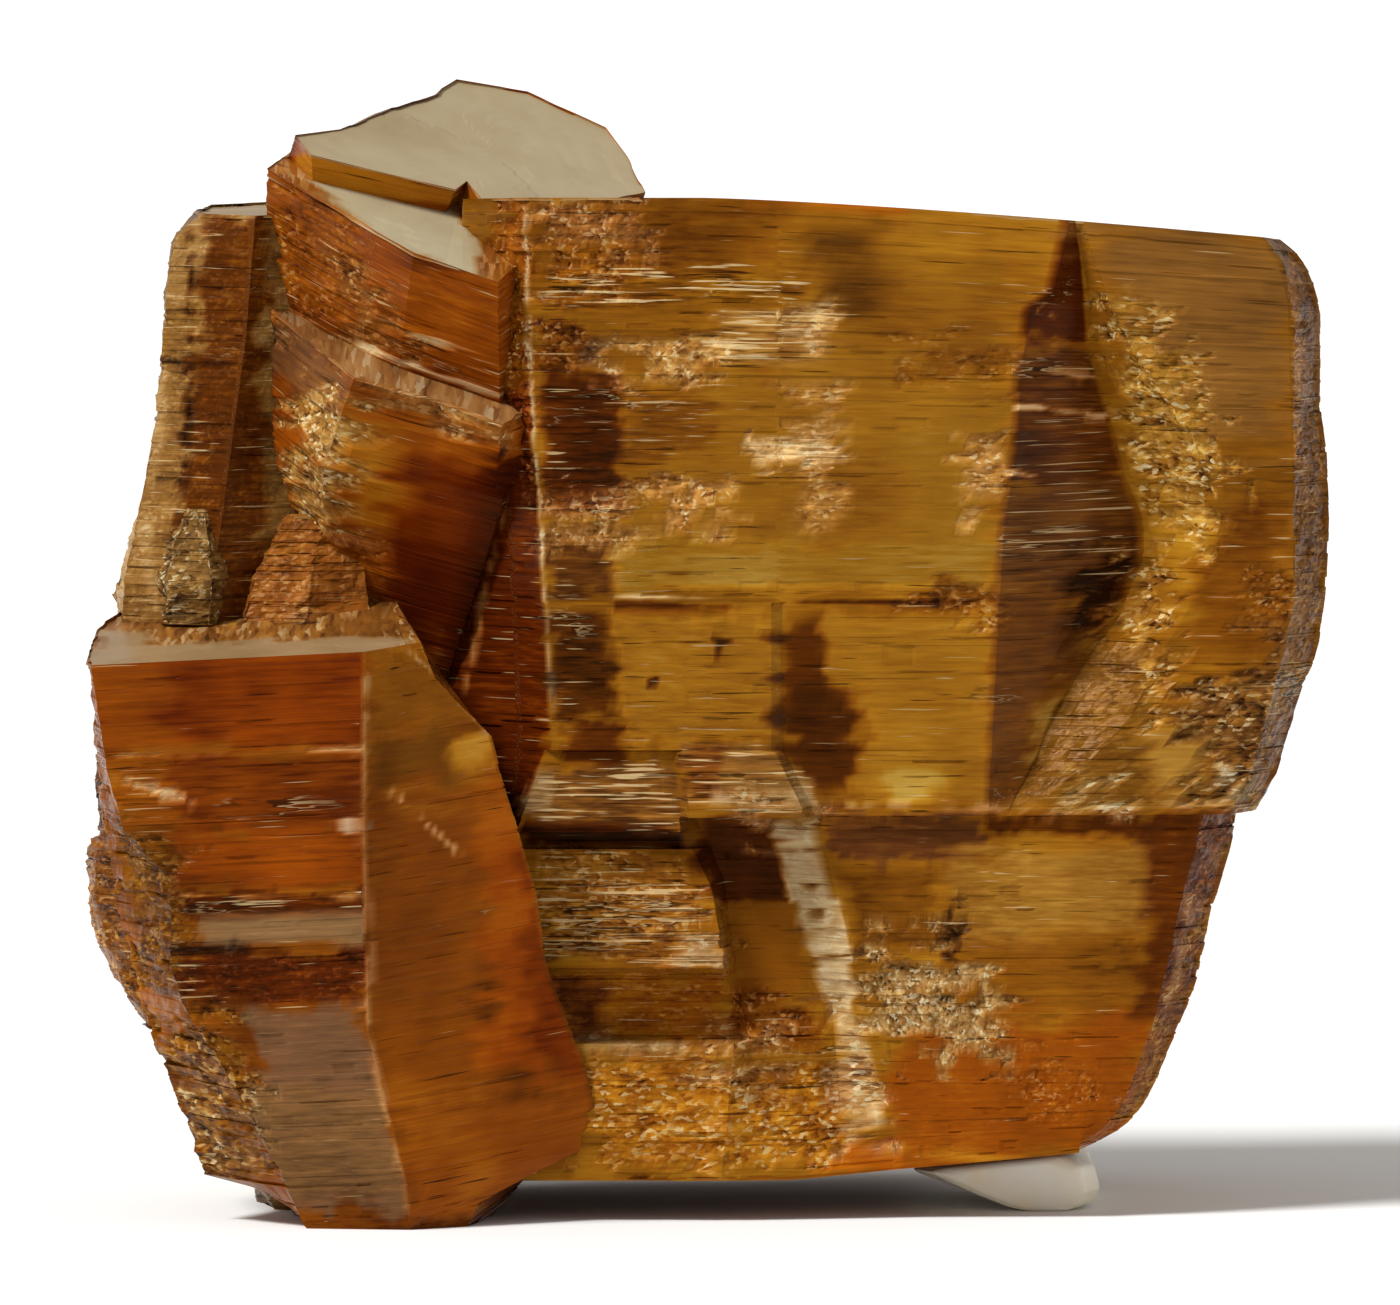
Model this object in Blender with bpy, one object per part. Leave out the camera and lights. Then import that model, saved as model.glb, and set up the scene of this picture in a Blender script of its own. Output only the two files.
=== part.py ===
"""A cluster of intergrown phlogopite crystals standing on its lowest crystal and on a small chip of calcite.

Every crystal is a book of mica layers. A book is lofted from the outline of its layers: each corner of the
outline has a path, a short list of (height, x, y) in millimetres, and the book's wall follows those paths.
Two entries at one height are a ledge. Thin layers that stand in or out a little are added by a seeded draw.
The frame is metres, +Z up and -Y towards the viewer, with the origin at the middle of the base.
"""

import math
import random

import bmesh
import bpy
import numpy as np
from mathutils import Euler, Vector

MM = 0.001

# Overall size that the outlines below are drawn to, in millimetres.
CLUSTER_WIDTH = 40.0
CLUSTER_DEPTH = 25.2
CLUSTER_HEIGHT = 35.9

LEDGE_RISE = 0.06  # height over which one layer's edge passes to the next
INSIDE = 1e-4  # how far inside a layer its outline is read, so that a ledge falls between layers
SMOOTH = 0.045  # how far a layer stands in or out at its smooth corners
NUDGE = 0.02  # how far one smooth corner departs from that
ROUGH = 0.2  # the same for a broken margin

# Main crystal, front view left to right and then round the back. Heights run up the cleavage direction.
MAIN_BASE = 1.3
MAIN_TOP = 32.55
MAIN_LEDGES = (2.1, 5.7, 7.6, 8.1, 11.8, 12.4, 12.9, 13.2, 15.0, 19.7, 24.0, 26.0, 27.5, 32.1)
MAIN_CORNERS = {
    "left_bevel": [
        (1.3, -7.5, -5.2), (5.7, -7.4, -5.4), (15.0, -5.7, -5.7), (19.7, -5.9, -5.7), (24.0, -6.15, -5.8),
        (32.55, -6.4, -5.7),
    ],
    "left_front": [
        (1.3, -6.0, -6.9), (5.7, -6.0, -7.2), (5.7, -6.1, -5.6), (7.6, -6.1, -5.5), (8.1, -6.1, -6.9),
        (11.8, -6.0, -5.9), (11.8, -6.0, -5.3), (12.4, -6.1, -5.4), (12.4, -5.9, -6.9), (15.0, -4.95, -6.55),
        (15.0, -4.75, -6.75), (19.7, -4.95, -6.75), (19.7, -5.0, -6.5), (22.5, -5.15, -6.5),
        (24.5, -5.35, -6.5), (32.55, -5.7, -6.5),
    ],
    "block_end": [
        (1.3, 0.6, -7.1), (5.7, 1.1, -7.2), (5.7, 1.2, -5.6), (7.6, 0.75, -5.4), (8.1, 0.8, -7.0),
        (10.6, 0.3, -6.3), (11.8, -0.3, -5.9), (11.8, -0.7, -5.4), (12.4, -0.8, -5.5), (12.4, -0.65, -6.8),
        (15.0, -0.95, -6.5), (15.0, -0.9, -6.75), (19.7, -0.9, -6.75), (19.7, -0.9, -6.5),
        (32.55, -0.9, -6.5),
    ],
    "recess_left": [
        (1.3, 1.7, -6.9), (5.7, 1.6, -6.4), (7.6, 1.15, -4.9), (10.6, 0.75, -4.7), (11.8, 0.3, -4.7),
        (12.9, -0.3, -4.9), (12.9, -0.35, -7.6), (13.2, -0.4, -7.7), (15.0, -0.6, -6.9), (15.0, -0.4, -6.75),
        (19.7, -0.4, -6.75), (19.7, -0.3, -6.5), (32.55, -0.3, -6.5),
    ],
    "recess_right": [
        (1.3, 4.4, -6.4), (2.9, 4.5, -6.2), (4.4, 4.35, -5.4), (6.8, 4.1, -4.9), (8.8, 3.15, -4.8),
        (10.5, 2.8, -4.8), (12.2, 1.95, -4.8), (12.9, 2.3, -4.9), (12.9, 3.2, -7.5), (13.2, 3.2, -7.6),
        (15.0, 2.3, -6.9), (15.0, 2.2, -6.75), (19.7, 2.2, -6.75), (19.7, 2.3, -6.5), (32.55, 2.3, -6.5),
    ],
    "block_edge": [
        (1.3, 6.1, -6.1), (2.8, 6.0, -6.05), (5.9, 5.35, -6.05), (8.0, 4.8, -6.05), (10.1, 4.3, -6.05),
        (12.5, 3.75, -6.05), (12.9, 3.7, -6.1), (12.9, 3.65, -6.5), (15.0, 2.6, -6.5), (19.7, 2.55, -6.5),
        (32.55, 2.6, -6.5),
    ],
    "notch_left": [
        (1.3, 8.6, -6.1), (12.9, 8.9, -6.1), (12.9, 9.1, -6.6), (16.0, 9.25, -6.65), (19.7, 9.45, -6.65),
        (19.7, 9.45, -6.5), (22.2, 9.6, -6.5), (24.8, 10.05, -6.5), (27.0, 10.1, -6.5), (29.4, 10.4, -6.5),
        (30.0, 11.15, -6.5), (32.55, 11.65, -6.5),
    ],
    "notch_floor": [
        (1.3, 10.4, -6.1), (12.9, 10.5, -6.1), (12.9, 9.7, -6.5), (13.5, 10.0, -6.1), (14.5, 10.6, -5.5),
        (16.0, 11.2, -4.9), (17.0, 11.8, -4.6), (18.0, 12.4, -4.3), (19.0, 13.3, -3.8), (21.1, 14.1, -3.2),
        (22.1, 14.1, -3.2), (23.6, 13.5, -3.6), (25.2, 13.1, -4.0), (28.2, 12.3, -4.9), (30.7, 12.1, -5.5),
        (32.55, 11.85, -6.3),
    ],
    "notch_right": [
        (1.3, 12.0, -6.0), (12.9, 13.0, -6.05), (12.9, 10.2, -6.5), (14.5, 12.2, -6.1), (16.0, 13.6, -5.9),
        (18.0, 14.6, -5.6), (19.3, 15.4, -5.5), (21.2, 16.3, -5.5), (22.4, 16.4, -5.6), (25.0, 15.4, -5.8),
        (27.0, 14.2, -6.0), (29.8, 12.9, -6.15), (32.55, 12.1, -6.4),
    ],
    "right_front": [
        (1.3, 11.4, -5.7), (1.8, 12.2, -5.8), (2.3, 12.8, -5.8), (3.0, 13.2, -5.8), (4.8, 13.9, -5.8),
        (6.4, 14.5, -5.8), (9.0, 15.1, -5.8), (12.9, 16.0, -5.8), (12.9, 16.8, -5.9), (14.0, 17.4, -5.9),
        (16.0, 18.0, -5.8), (18.0, 18.5, -5.6), (20.0, 18.9, -5.6), (30.4, 18.85, -5.8), (31.6, 18.5, -5.8),
        (32.55, 17.9, -5.8),
    ],
    "right_bevel": [
        (1.3, 12.1, -4.6), (1.8, 13.0, -4.5), (2.3, 13.5, -4.5), (3.0, 13.95, -4.4), (4.1, 14.4, -4.4),
        (5.1, 14.85, -4.3), (7.5, 15.8, -4.2), (9.8, 16.3, -4.1), (11.7, 16.85, -4.1), (12.9, 17.1, -4.1),
        (12.9, 17.7, -4.3), (14.0, 18.3, -4.2), (15.5, 18.75, -4.0), (16.7, 19.1, -3.9), (18.0, 19.65, -3.9),
        (20.0, 19.9, -3.9), (22.2, 20.0, -3.8), (24.4, 19.9, -3.8), (26.0, 19.7, -3.8), (29.9, 19.7, -3.8),
        (31.2, 19.4, -3.8), (32.0, 19.0, -3.9), (32.55, 18.4, -4.1),
    ],
    "right_back": [
        (1.3, 12.2, 0.5), (4.8, 14.3, 0.8), (9.0, 15.7, 1.0), (12.9, 16.6, 1.2), (12.9, 17.4, 1.4),
        (17.8, 19.1, 1.2), (22.2, 19.6, 1.0), (30.6, 19.2, 0.8), (32.1, 18.6, 0.8), (32.1, 18.3, 0.6),
        (32.55, 17.9, 0.6),
    ],
    "back_right": [
        (1.3, 8.8, 8.0), (4.8, 10.6, 9.4), (8.1, 11.6, 10.2), (8.1, 11.0, 9.6), (12.9, 11.9, 10.4),
        (17.8, 13.3, 11.3), (24.0, 13.7, 11.5), (24.0, 13.0, 10.8), (30.6, 12.9, 10.7), (32.1, 12.4, 10.2),
        (32.1, 11.6, 8.9), (32.55, 11.5, 8.7),
    ],
    "back_step_right": [
        (1.3, 4.2, 9.3), (4.8, 4.4, 10.2), (15.0, 4.6, 10.7), (19.7, 4.8, 11.6), (27.5, 4.8, 11.3),
        (27.5, 4.9, 10.6), (32.1, 4.9, 10.2), (32.1, 4.6, 9.0), (32.55, 4.5, 8.8),
    ],
    "back_step_left": [
        (1.3, 3.4, 8.8), (4.8, 3.5, 9.6), (15.0, 3.6, 9.9), (19.7, 3.7, 10.5), (27.5, 3.8, 10.2),
        (27.5, 3.9, 9.8), (32.1, 3.9, 9.4), (32.1, 3.6, 8.6), (32.55, 3.5, 8.4),
    ],
    "back_left": [
        (1.3, -4.0, 8.2), (4.8, -4.4, 9.3), (15.0, -4.9, 10.0), (15.0, -4.4, 9.5), (19.7, -4.5, 10.2),
        (26.0, -4.3, 10.0), (26.0, -3.8, 9.4), (32.55, -3.6, 8.9),
    ],
    "left_back": [(1.3, -9.4, 3.6), (11.8, -9.8, 4.4), (19.7, -9.8, 4.8), (32.55, -7.6, 4.2)],
    "left_inner": [(1.3, -9.0, -3.6), (15.0, -9.0, -3.0), (23.3, -8.4, -3.0), (32.55, -7.6, -3.8)],
}

# Lower-left crystal, in front of the main one. Its axis leans towards the viewer and a little to the left.
FRONT_PIVOT = (-10.4, -10.0, 0.0)
FRONT_LEAN_DEG = 8.0
FRONT_ROLL_DEG = -4.2
FRONT_BASE = -1.6
FRONT_TOP = 18.65
FRONT_LEDGES = (1.4, 5.8, 7.3, 8.9, 9.9, 13.3, 15.2)
FRONT_CORNERS = {
    "front_edge": [
        (-1.6, -9.4, -9.6), (0.3, -9.2, -9.85), (1.5, -9.2, -10.0), (3.0, -9.45, -10.0), (4.7, -9.75, -10.0),
        (6.4, -10.05, -10.0), (8.9, -9.9, -10.0), (12.5, -9.7, -10.0), (18.65, -9.2, -10.0),
    ],
    "right_edge": [
        (-1.6, -8.2, -9.0), (0.3, -7.0, -8.4), (0.9, -5.2, -7.4), (1.4, -3.6, -6.6), (2.8, -3.2, -6.5),
        (4.2, -3.4, -6.6), (5.8, -3.9, -6.8), (7.5, -4.35, -7.0), (9.9, -4.5, -7.1), (12.2, -4.95, -7.4),
        (13.6, -5.25, -7.7), (15.2, -5.5, -8.0), (16.4, -6.4, -8.5), (17.4, -7.1, -8.9), (18.65, -7.5, -9.1),
    ],
    "right_back": [
        (-1.6, -7.4, -5.2), (1.4, -4.0, -3.0), (9.9, -4.8, -3.0), (15.2, -6.4, -3.4), (18.65, -8.3, -2.6),
    ],
    "back_right": [(-1.6, -8.2, 4.6), (1.4, -7.0, 5.4), (18.65, -8.8, 3.2)],
    "back_left": [(-1.6, -13.4, 4.6), (1.4, -14.6, 4.6), (9.9, -15.4, 4.0), (18.65, -16.8, 1.4)],
    "left_back_rough": [
        (-1.6, -12.6, -3.0), (0.4, -14.0, -3.0), (1.4, -15.0, -3.2), (4.5, -16.2, -3.2), (8.0, -16.9, -3.0),
        (12.0, -17.6, -3.0), (18.65, -17.9, -3.0),
    ],
    "left_front_rough": [
        (-1.6, -12.4, -7.0), (0.1, -12.8, -7.0), (0.5, -13.6, -6.6), (1.0, -14.7, -6.4), (1.3, -15.8, -6.4),
        (3.6, -16.4, -6.6), (5.8, -17.1, -6.7), (8.0, -17.5, -6.8), (10.4, -17.9, -6.9), (14.6, -18.1, -7.3),
        (17.6, -18.1, -8.0), (18.65, -18.1, -8.4),
    ],
    "left_edge": [
        (-1.6, -12.0, -9.2), (0.8, -12.8, -9.4), (2.0, -13.2, -9.4), (4.0, -14.2, -9.4), (5.8, -15.0, -9.35),
        (7.3, -15.8, -9.3), (8.9, -16.2, -9.2), (10.9, -16.0, -9.25), (11.8, -16.1, -9.25),
        (13.3, -17.3, -9.1), (15.2, -17.65, -9.05), (18.65, -17.9, -9.0),
    ],
}

# Rear crystal, grown into the back of the main one, its axis leaning a little back and to the left.
REAR_PIVOT = (7.0, 9.0, 0.0)
REAR_LEAN_DEG = -3.0
REAR_ROLL_DEG = -4.0
REAR_BASE = 2.4
REAR_TOP = 19.4
REAR_LEDGES = (5.2, 9.6, 14.2)
REAR_CORNERS = {
    "inner_right": [(2.4, 11.0, 4.0), (19.4, 12.0, 4.0)],
    "right": [(2.4, 10.4, 8.6), (9.6, 12.4, 9.2), (9.6, 12.0, 8.9), (19.4, 12.7, 8.6)],
    "back_right": [(2.4, 9.0, 11.0), (9.6, 10.2, 11.9), (9.6, 9.8, 11.6), (19.4, 10.2, 11.4)],
    "back_left": [
        (2.4, 4.9, 11.4), (5.2, 4.6, 11.9), (5.2, 4.9, 11.6), (14.2, 4.6, 11.9), (14.2, 5.4, 11.5),
        (19.4, 5.2, 11.3),
    ],
    "left": [(2.4, 2.6, 9.6), (14.2, 2.2, 9.6), (14.2, 3.2, 9.4), (19.4, 3.2, 9.2)],
    "inner_left": [(2.4, 3.4, 4.0), (19.4, 3.0, 4.0)],
}

# Tilted stack at the upper left: three stairs whose cleavage tops face up towards the viewer. Each stair's
# foot reaches down into the one below it.
STACK_CORNER = (-11.0, -7.8, 26.9)
STACK_LEAN_DEG = 18.0
STACK_ROLL_DEG = 17.0
LOW_STAIR = 0.0
MIDDLE_STAIR = 4.1
HIGH_STAIR = 4.95
LOW_STAIR_BASE = -12.5
LOW_STAIR_LEDGES = (-8.5, -6.2, -3.2, -2.7, -2.2)
LOW_STAIR_CORNERS = {
    "front_left": [
        (-12.5, 3.6, 1.6), (-8.5, 2.4, 0.9), (-6.2, 1.3, 0.7), (-4.4, 0.2, 0.3), (-3.2, -0.1, 0.0),
        (0.0, 0.0, 0.0),
    ],
    "front_middle": [(-12.5, 5.0, 1.1), (-6.2, 3.8, 0.4), (0.0, 2.9, 0.1)],
    "front_right": [
        (-12.5, 5.8, 0.8), (-6.2, 5.8, 0.5), (-2.7, 5.75, 0.3), (-2.2, 5.3, 0.0), (0.0, 4.9, -0.45),
    ],
    "right_front": [(-12.5, 6.6, 2.8), (-2.7, 6.3, 2.4), (-2.2, 6.4, 1.0), (0.0, 5.6, 1.2)],
    "right": [(-12.5, 8.0, 6.0), (0.0, 8.3, 7.2)],
    "right_back": [(-12.5, 8.6, 9.6), (0.0, 8.5, 11.0)],
    "back_right": [(-12.5, 6.8, 12.8), (0.0, 6.8, 14.4)],
    "back": [(-12.5, 3.4, 13.8), (0.0, 3.4, 15.2)],
    "back_left": [(-12.5, -0.6, 12.6), (0.0, 0.4, 13.2)],
    "left_back_rough": [(-12.5, -3.4, 10.4), (0.0, -2.4, 10.8)],
    "left_knee": [(-12.5, -4.6, 8.2), (0.0, -4.0, 8.6)],
    "left": [(-12.5, -3.6, 5.4), (-3.2, -3.5, 5.3), (0.0, -3.6, 5.0)],
}
MIDDLE_STAIR_BASE = -1.0
MIDDLE_STAIR_LEDGES = (0.0, 1.4)
MIDDLE_STAIR_CORNERS = {
    "front_left": [(-1.0, 0.3, 2.9), (4.1, -0.5, 2.3)],
    "front_middle": [(-1.0, 1.6, 2.35), (4.1, 0.7, 1.35)],
    "front_right": [(-1.0, 5.1, 1.8), (4.1, 3.5, 0.9)],
    "right_front": [(-1.0, 5.8, 3.2), (4.1, 4.0, 2.6)],
    "right": [(-1.0, 7.8, 7.2), (4.1, 6.8, 7.2)],
    "right_back": [(-1.0, 8.0, 11.2), (4.1, 7.7, 11.8)],
    "back_right": [(-1.0, 7.1, 13.8), (4.1, 7.0, 14.9)],
    "back": [(-1.0, 3.4, 15.0), (4.1, 3.6, 16.3)],
    "back_left": [(-1.0, 0.8, 12.9), (4.1, 0.7, 13.4)],
    "left_back_rough": [(-1.0, -1.9, 10.3), (4.1, -1.2, 10.8)],
    "left_knee": [(-1.0, -3.5, 8.3), (4.1, -3.1, 8.6)],
    "left": [(-1.0, -3.3, 5.2), (1.4, -3.75, 5.3), (1.4, -3.5, 5.4), (4.1, -4.2, 5.2)],
}
HIGH_STAIR_BASE = 3.2
HIGH_STAIR_LEDGES = (4.1,)
HIGH_STAIR_CORNERS = {
    "front_left": [(3.2, -2.4, 5.6), (4.95, -3.0, 5.2)],
    "front_middle": [(3.2, 0.5, 6.1), (4.95, 0.6, 5.6)],
    "front_step": [(3.2, 1.7, 6.4), (4.95, 1.8, 5.8)],
    "front_notch": [(3.2, 2.1, 7.3), (4.95, 2.15, 6.9)],
    "front_right": [(3.2, 2.6, 5.7), (4.95, 2.75, 5.2)],
    "right_front": [(3.2, 4.2, 5.6), (4.95, 4.2, 5.1)],
    "right": [(3.2, 8.2, 10.6), (4.95, 8.1, 10.6)],
    "right_back": [(3.2, 7.5, 13.4), (4.95, 7.5, 13.4)],
    "back_right": [(3.2, 6.8, 15.6), (4.95, 6.75, 15.6)],
    "back_knee": [(3.2, 4.2, 16.8), (4.95, 4.1, 16.9)],
    "back": [(3.2, 1.7, 16.0), (4.95, 1.7, 16.1)],
    "back_left": [(3.2, 1.0, 14.1), (4.95, 1.0, 14.3)],
    "left_back_rough": [(3.2, -0.8, 11.2), (4.95, -0.8, 11.2)],
    "left_knee": [(3.2, -2.3, 8.6), (4.95, -2.1, 8.3)],
    "left": [(3.2, -3.5, 6.9), (4.95, -3.55, 6.6)],
}

# Weathered column behind the left edge, which runs on down behind the lower-left crystal to the base.
COLUMN_BASE = -0.4
COLUMN_TOP = 31.9
COLUMN_LEDGES = (6.6, 8.4, 12.4, 15.0, 20.4, 25.2, 28.0, 31.2)
COLUMN_CORNERS = {
    "front": [
        (-0.4, -10.5, -4.0), (6.6, -13.5, -5.4), (15.0, -15.0, -6.0), (20.4, -15.5, -5.8),
        (25.0, -14.9, -5.3), (28.0, -14.5, -5.0), (31.9, -14.2, -4.4),
    ],
    "right_front": [(-0.4, -8.5, -3.0), (15.0, -11.0, -3.8), (28.0, -12.0, -3.0), (31.9, -12.6, -3.0)],
    "right_back": [
        (-0.4, -7.0, 6.8), (8.4, -6.6, 8.2), (15.0, -6.3, 9.1), (15.0, -6.8, 8.6), (28.0, -7.9, 9.0),
        (31.9, -9.0, 8.4),
    ],
    "back": [
        (-0.4, -11.0, 7.4), (8.4, -12.0, 9.6), (20.4, -12.4, 10.6), (20.4, -12.6, 10.0), (28.0, -12.8, 10.0),
        (31.2, -13.0, 9.6), (31.2, -12.8, 9.0), (31.9, -12.8, 8.8),
    ],
    "left_back": [
        (-0.4, -13.6, 4.6), (6.6, -16.6, 5.0), (12.4, -17.6, 5.6), (20.4, -17.4, 6.0), (28.0, -16.9, 5.8),
        (31.2, -16.5, 5.6), (31.9, -15.9, 4.9),
    ],
    "left_rough": [
        (-0.4, -14.2, 0.2), (2.0, -15.2, 0.0), (4.0, -16.1, -0.2), (6.6, -17.4, -0.4), (8.4, -18.9, -0.8),
        (12.4, -19.0, -1.0), (17.8, -19.0, -1.0), (20.4, -18.7, -0.6), (22.8, -18.05, -0.5),
        (25.0, -17.65, -0.4), (28.0, -17.4, -0.2), (30.5, -17.15, 0.0), (31.2, -17.0, 0.0),
        (31.9, -16.3, 0.2),
    ],
    "left_front": [
        (-0.4, -13.6, -2.6), (2.0, -14.4, -3.2), (6.6, -16.6, -3.8), (8.4, -18.2, -4.2), (15.0, -18.3, -4.6),
        (18.6, -18.5, -4.6), (20.4, -18.4, -4.4), (25.0, -17.5, -3.8), (30.5, -17.0, -3.2),
        (31.2, -16.8, -3.0), (31.9, -16.0, -2.8),
    ],
}

# Broken rim along the left of the lower-left crystal: ragged layer ends that bulge out of the outline.
RIM_BASE = 6.0
RIM_TOP = 18.2
RIM_LEDGES = (7.3, 9.3, 12.0, 13.6, 15.9)
RIM_CORNERS = {
    "outer_front_rough": [
        (6.0, -17.6, -6.0), (7.3, -18.5, -6.2), (9.3, -19.2, -6.2), (10.4, -19.5, -6.0), (12.0, -19.4, -5.8),
        (12.0, -19.1, -6.1), (13.6, -19.2, -6.3), (15.9, -19.3, -6.4), (18.2, -19.1, -6.6),
    ],
    "front_rough": [
        (6.0, -16.8, -7.2), (8.2, -17.4, -7.9), (12.0, -18.0, -8.3), (13.6, -18.5, -8.3), (18.2, -18.8, -8.3),
    ],
    "inner_front": [(6.0, -15.5, -7.0), (18.2, -16.5, -7.6)],
    "inner_back": [(6.0, -15.5, -2.0), (18.2, -16.4, -2.0)],
    "outer_back_rough": [
        (6.0, -17.0, -1.0), (8.2, -18.6, -0.8), (10.4, -19.3, -0.8), (12.0, -19.3, -1.0), (13.6, -18.9, -1.2),
        (18.2, -18.9, -1.4),
    ],
    "outer_rough": [
        (6.0, -17.9, -3.6), (7.3, -18.75, -3.6), (8.2, -19.3, -3.6), (9.3, -19.6, -3.6), (10.4, -19.85, -3.6),
        (12.0, -19.8, -3.6), (12.0, -19.4, -3.8), (13.6, -19.45, -3.8), (14.9, -19.5, -3.8),
        (15.9, -19.3, -4.0), (18.2, -19.1, -4.2),
    ],
}

# Low mound of broken plates in the corner between the column and the tilted stack.
MOUND_BASE = 18.4
MOUND_TOP = 22.4
MOUND_LEDGES = (19.6, 21.2)
MOUND_CORNERS = {
    "outer_front_rough": [(18.4, -15.0, -6.3), (20.4, -14.4, -5.8), (22.4, -13.2, -4.6)],
    "front_rough": [(18.4, -12.6, -6.9), (20.4, -12.4, -6.2), (22.4, -12.0, -4.8)],
    "inner_front": [(18.4, -10.4, -6.2), (22.4, -10.9, -4.4)],
    "inner_back": [(18.4, -11.0, -2.0), (22.4, -11.4, -2.0)],
    "outer_back": [(18.4, -15.0, -3.2), (22.4, -13.8, -3.2)],
}

# Pale lump of plates low on the front of the column.
LUMP_BASE = 18.9
LUMP_TOP = 22.6
LUMP_LEDGES = (20.4, 21.6)
LUMP_CORNERS = {
    "left_rough": [(18.9, -17.5, -4.2), (20.4, -17.6, -4.4), (21.6, -17.3, -4.4), (22.6, -16.7, -4.3)],
    "front_left_rough": [(18.9, -17.1, -5.8), (20.4, -17.1, -6.1), (21.6, -16.8, -5.9), (22.6, -16.4, -5.1)],
    "front_right_rough": [(18.9, -15.6, -6.4), (20.4, -15.5, -6.7), (21.6, -15.6, -6.3), (22.6, -15.8, -5.4)],
    "right": [(18.9, -14.6, -5.0), (21.6, -14.8, -4.9), (22.6, -15.3, -4.7)],
    "back": [(18.9, -16.4, -3.2), (22.6, -16.2, -3.6)],
}

# The main crystal's top sinks a little to the right and to the back, and its foot rises to the right.
TOP_SINK_FROM = 25.0
TOP_SINK_RIGHT = 1.35
TOP_SINK_START_X = 0.0
TOP_SINK_END_X = 19.0
TOP_SINK_BACK = 1.0
FOOT_RISE_UNDER = 4.0
FOOT_RISE_RIGHT = 0.9
FOOT_RISE_START_X = 3.0
FOOT_RISE_END_X = 13.0

# Calcite chip under the right-hand end: outline in the front view as (x, z), and its reach in y.
CHIP_OUTLINE = (
    (6.6, 1.25), (8.3, 0.6), (9.6, 0.14), (10.4, 0.0), (12.0, 0.0), (12.6, 0.22), (12.85, 0.65), (12.6, 1.42),
    (11.8, 1.8), (9.2, 1.58), (7.2, 1.39),
)
CHIP_MIDDLE = 10.2
# Each section of the chip: its y, and the outline's share of its width there.
CHIP_SECTIONS = ((-3.4, 0.78), (-2.2, 0.97), (2.8, 0.94), (4.4, 0.7))

MICA_AMBER = (0.52, 0.27, 0.07, 1.0)
CALCITE_CREAM = (0.86, 0.80, 0.66, 1.0)


def clear_scene():
    """Removes what the startup scene holds."""
    for old in list(bpy.data.objects):
        bpy.data.objects.remove(old, do_unlink=True)


def material(name, colour, roughness, transmission):
    """A Principled material of one colour."""
    made = bpy.data.materials.new(name)
    made.use_nodes = True
    shader = made.node_tree.nodes["Principled BSDF"]
    shader.inputs["Base Color"].default_value = colour
    shader.inputs["Roughness"].default_value = roughness
    shader.inputs["Metallic"].default_value = 0.0
    shader.inputs["Transmission Weight"].default_value = transmission
    return made


def add_mesh(name, mesh_data, surface):
    """Puts a bmesh into the scene as an object with one material."""
    bmesh.ops.recalc_face_normals(mesh_data, faces=mesh_data.faces)
    mesh = bpy.data.meshes.new(name)
    mesh_data.to_mesh(mesh)
    mesh_data.free()
    made = bpy.data.objects.new(name, mesh)
    bpy.context.scene.collection.objects.link(made)
    if surface is not None:
        mesh.materials.append(surface)
    return made


def corner_at(path, height):
    """Where a corner's path stands at a height, as (x, y)."""
    heights = [point[0] for point in path]
    return (
        float(np.interp(height, heights, [point[1] for point in path])),
        float(np.interp(height, heights, [point[2] for point in path])),
    )


def layer_heights(base, top, ledges, draw, thinnest, thickest):
    """Heights where layers meet, from base to top: the named ledges, with drawn ones between."""
    marks = [base, *[ledge for ledge in ledges if base < ledge < top], top]
    heights = [base]
    for low, high in zip(marks, marks[1:]):
        height = low + draw.uniform(thinnest, thickest)
        while height < high - thinnest:
            heights.append(height)
            height += draw.uniform(thinnest, thickest)
        heights.append(high)
    return heights


def book_rings(corners, heights, draw):
    """The outline at the foot and the head of every layer, as rings of (x, y, z).

    A layer stands in or out a little as a whole, and each corner of a broken margin does so by itself.
    """
    names = list(corners)
    rings = []
    for low, high in zip(heights, heights[1:]):
        shift = draw.uniform(-SMOOTH, SMOOTH)
        own = {}
        for name in names:
            torn = name.endswith("_rough")
            own[name] = draw.uniform(-ROUGH, ROUGH) if torn else shift + draw.uniform(-NUDGE, NUDGE)
        for height, inside in ((low + LEDGE_RISE / 2, low + INSIDE), (high - LEDGE_RISE / 2, high - INSIDE)):
            plain = [corner_at(corners[name], inside) for name in names]
            centre = Vector((sum(p[0] for p in plain), sum(p[1] for p in plain))) / len(plain)
            ring = []
            for name, point in zip(names, plain):
                outward = (Vector(point) - centre).normalized()
                moved = Vector(point) + outward * own[name]
                ring.append((moved.x, moved.y, height))
            rings.append(ring)
    return rings


def loft(rings):
    """A closed surface through rings of one length, capped at both ends."""
    made = bmesh.new()
    rows = [[made.verts.new(Vector(point) * MM) for point in ring] for ring in rings]
    count = len(rows[0])
    for lower, upper in zip(rows, rows[1:]):
        for i in range(count):
            j = (i + 1) % count
            made.faces.new((lower[i], lower[j], upper[j], upper[i]))
    ends = [made.faces.new(rows[0][::-1]), made.faces.new(rows[-1])]
    bmesh.ops.triangulate(made, faces=ends)
    return made


def placed(rings, pivot, lean_deg, roll_deg):
    """Rings turned about a pivot: leaning towards the viewer, and rolled so that the layers slope."""
    lean = Euler((math.radians(lean_deg), 0, 0)).to_matrix()
    roll = Euler((0, math.radians(roll_deg), 0)).to_matrix()
    turn = lean @ roll
    origin = Vector(pivot)
    return [[origin + turn @ Vector(point) for point in ring] for ring in rings]


def share_between(value, start, end):
    return min(1.0, max(0.0, (value - start) / (end - start)))


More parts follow.
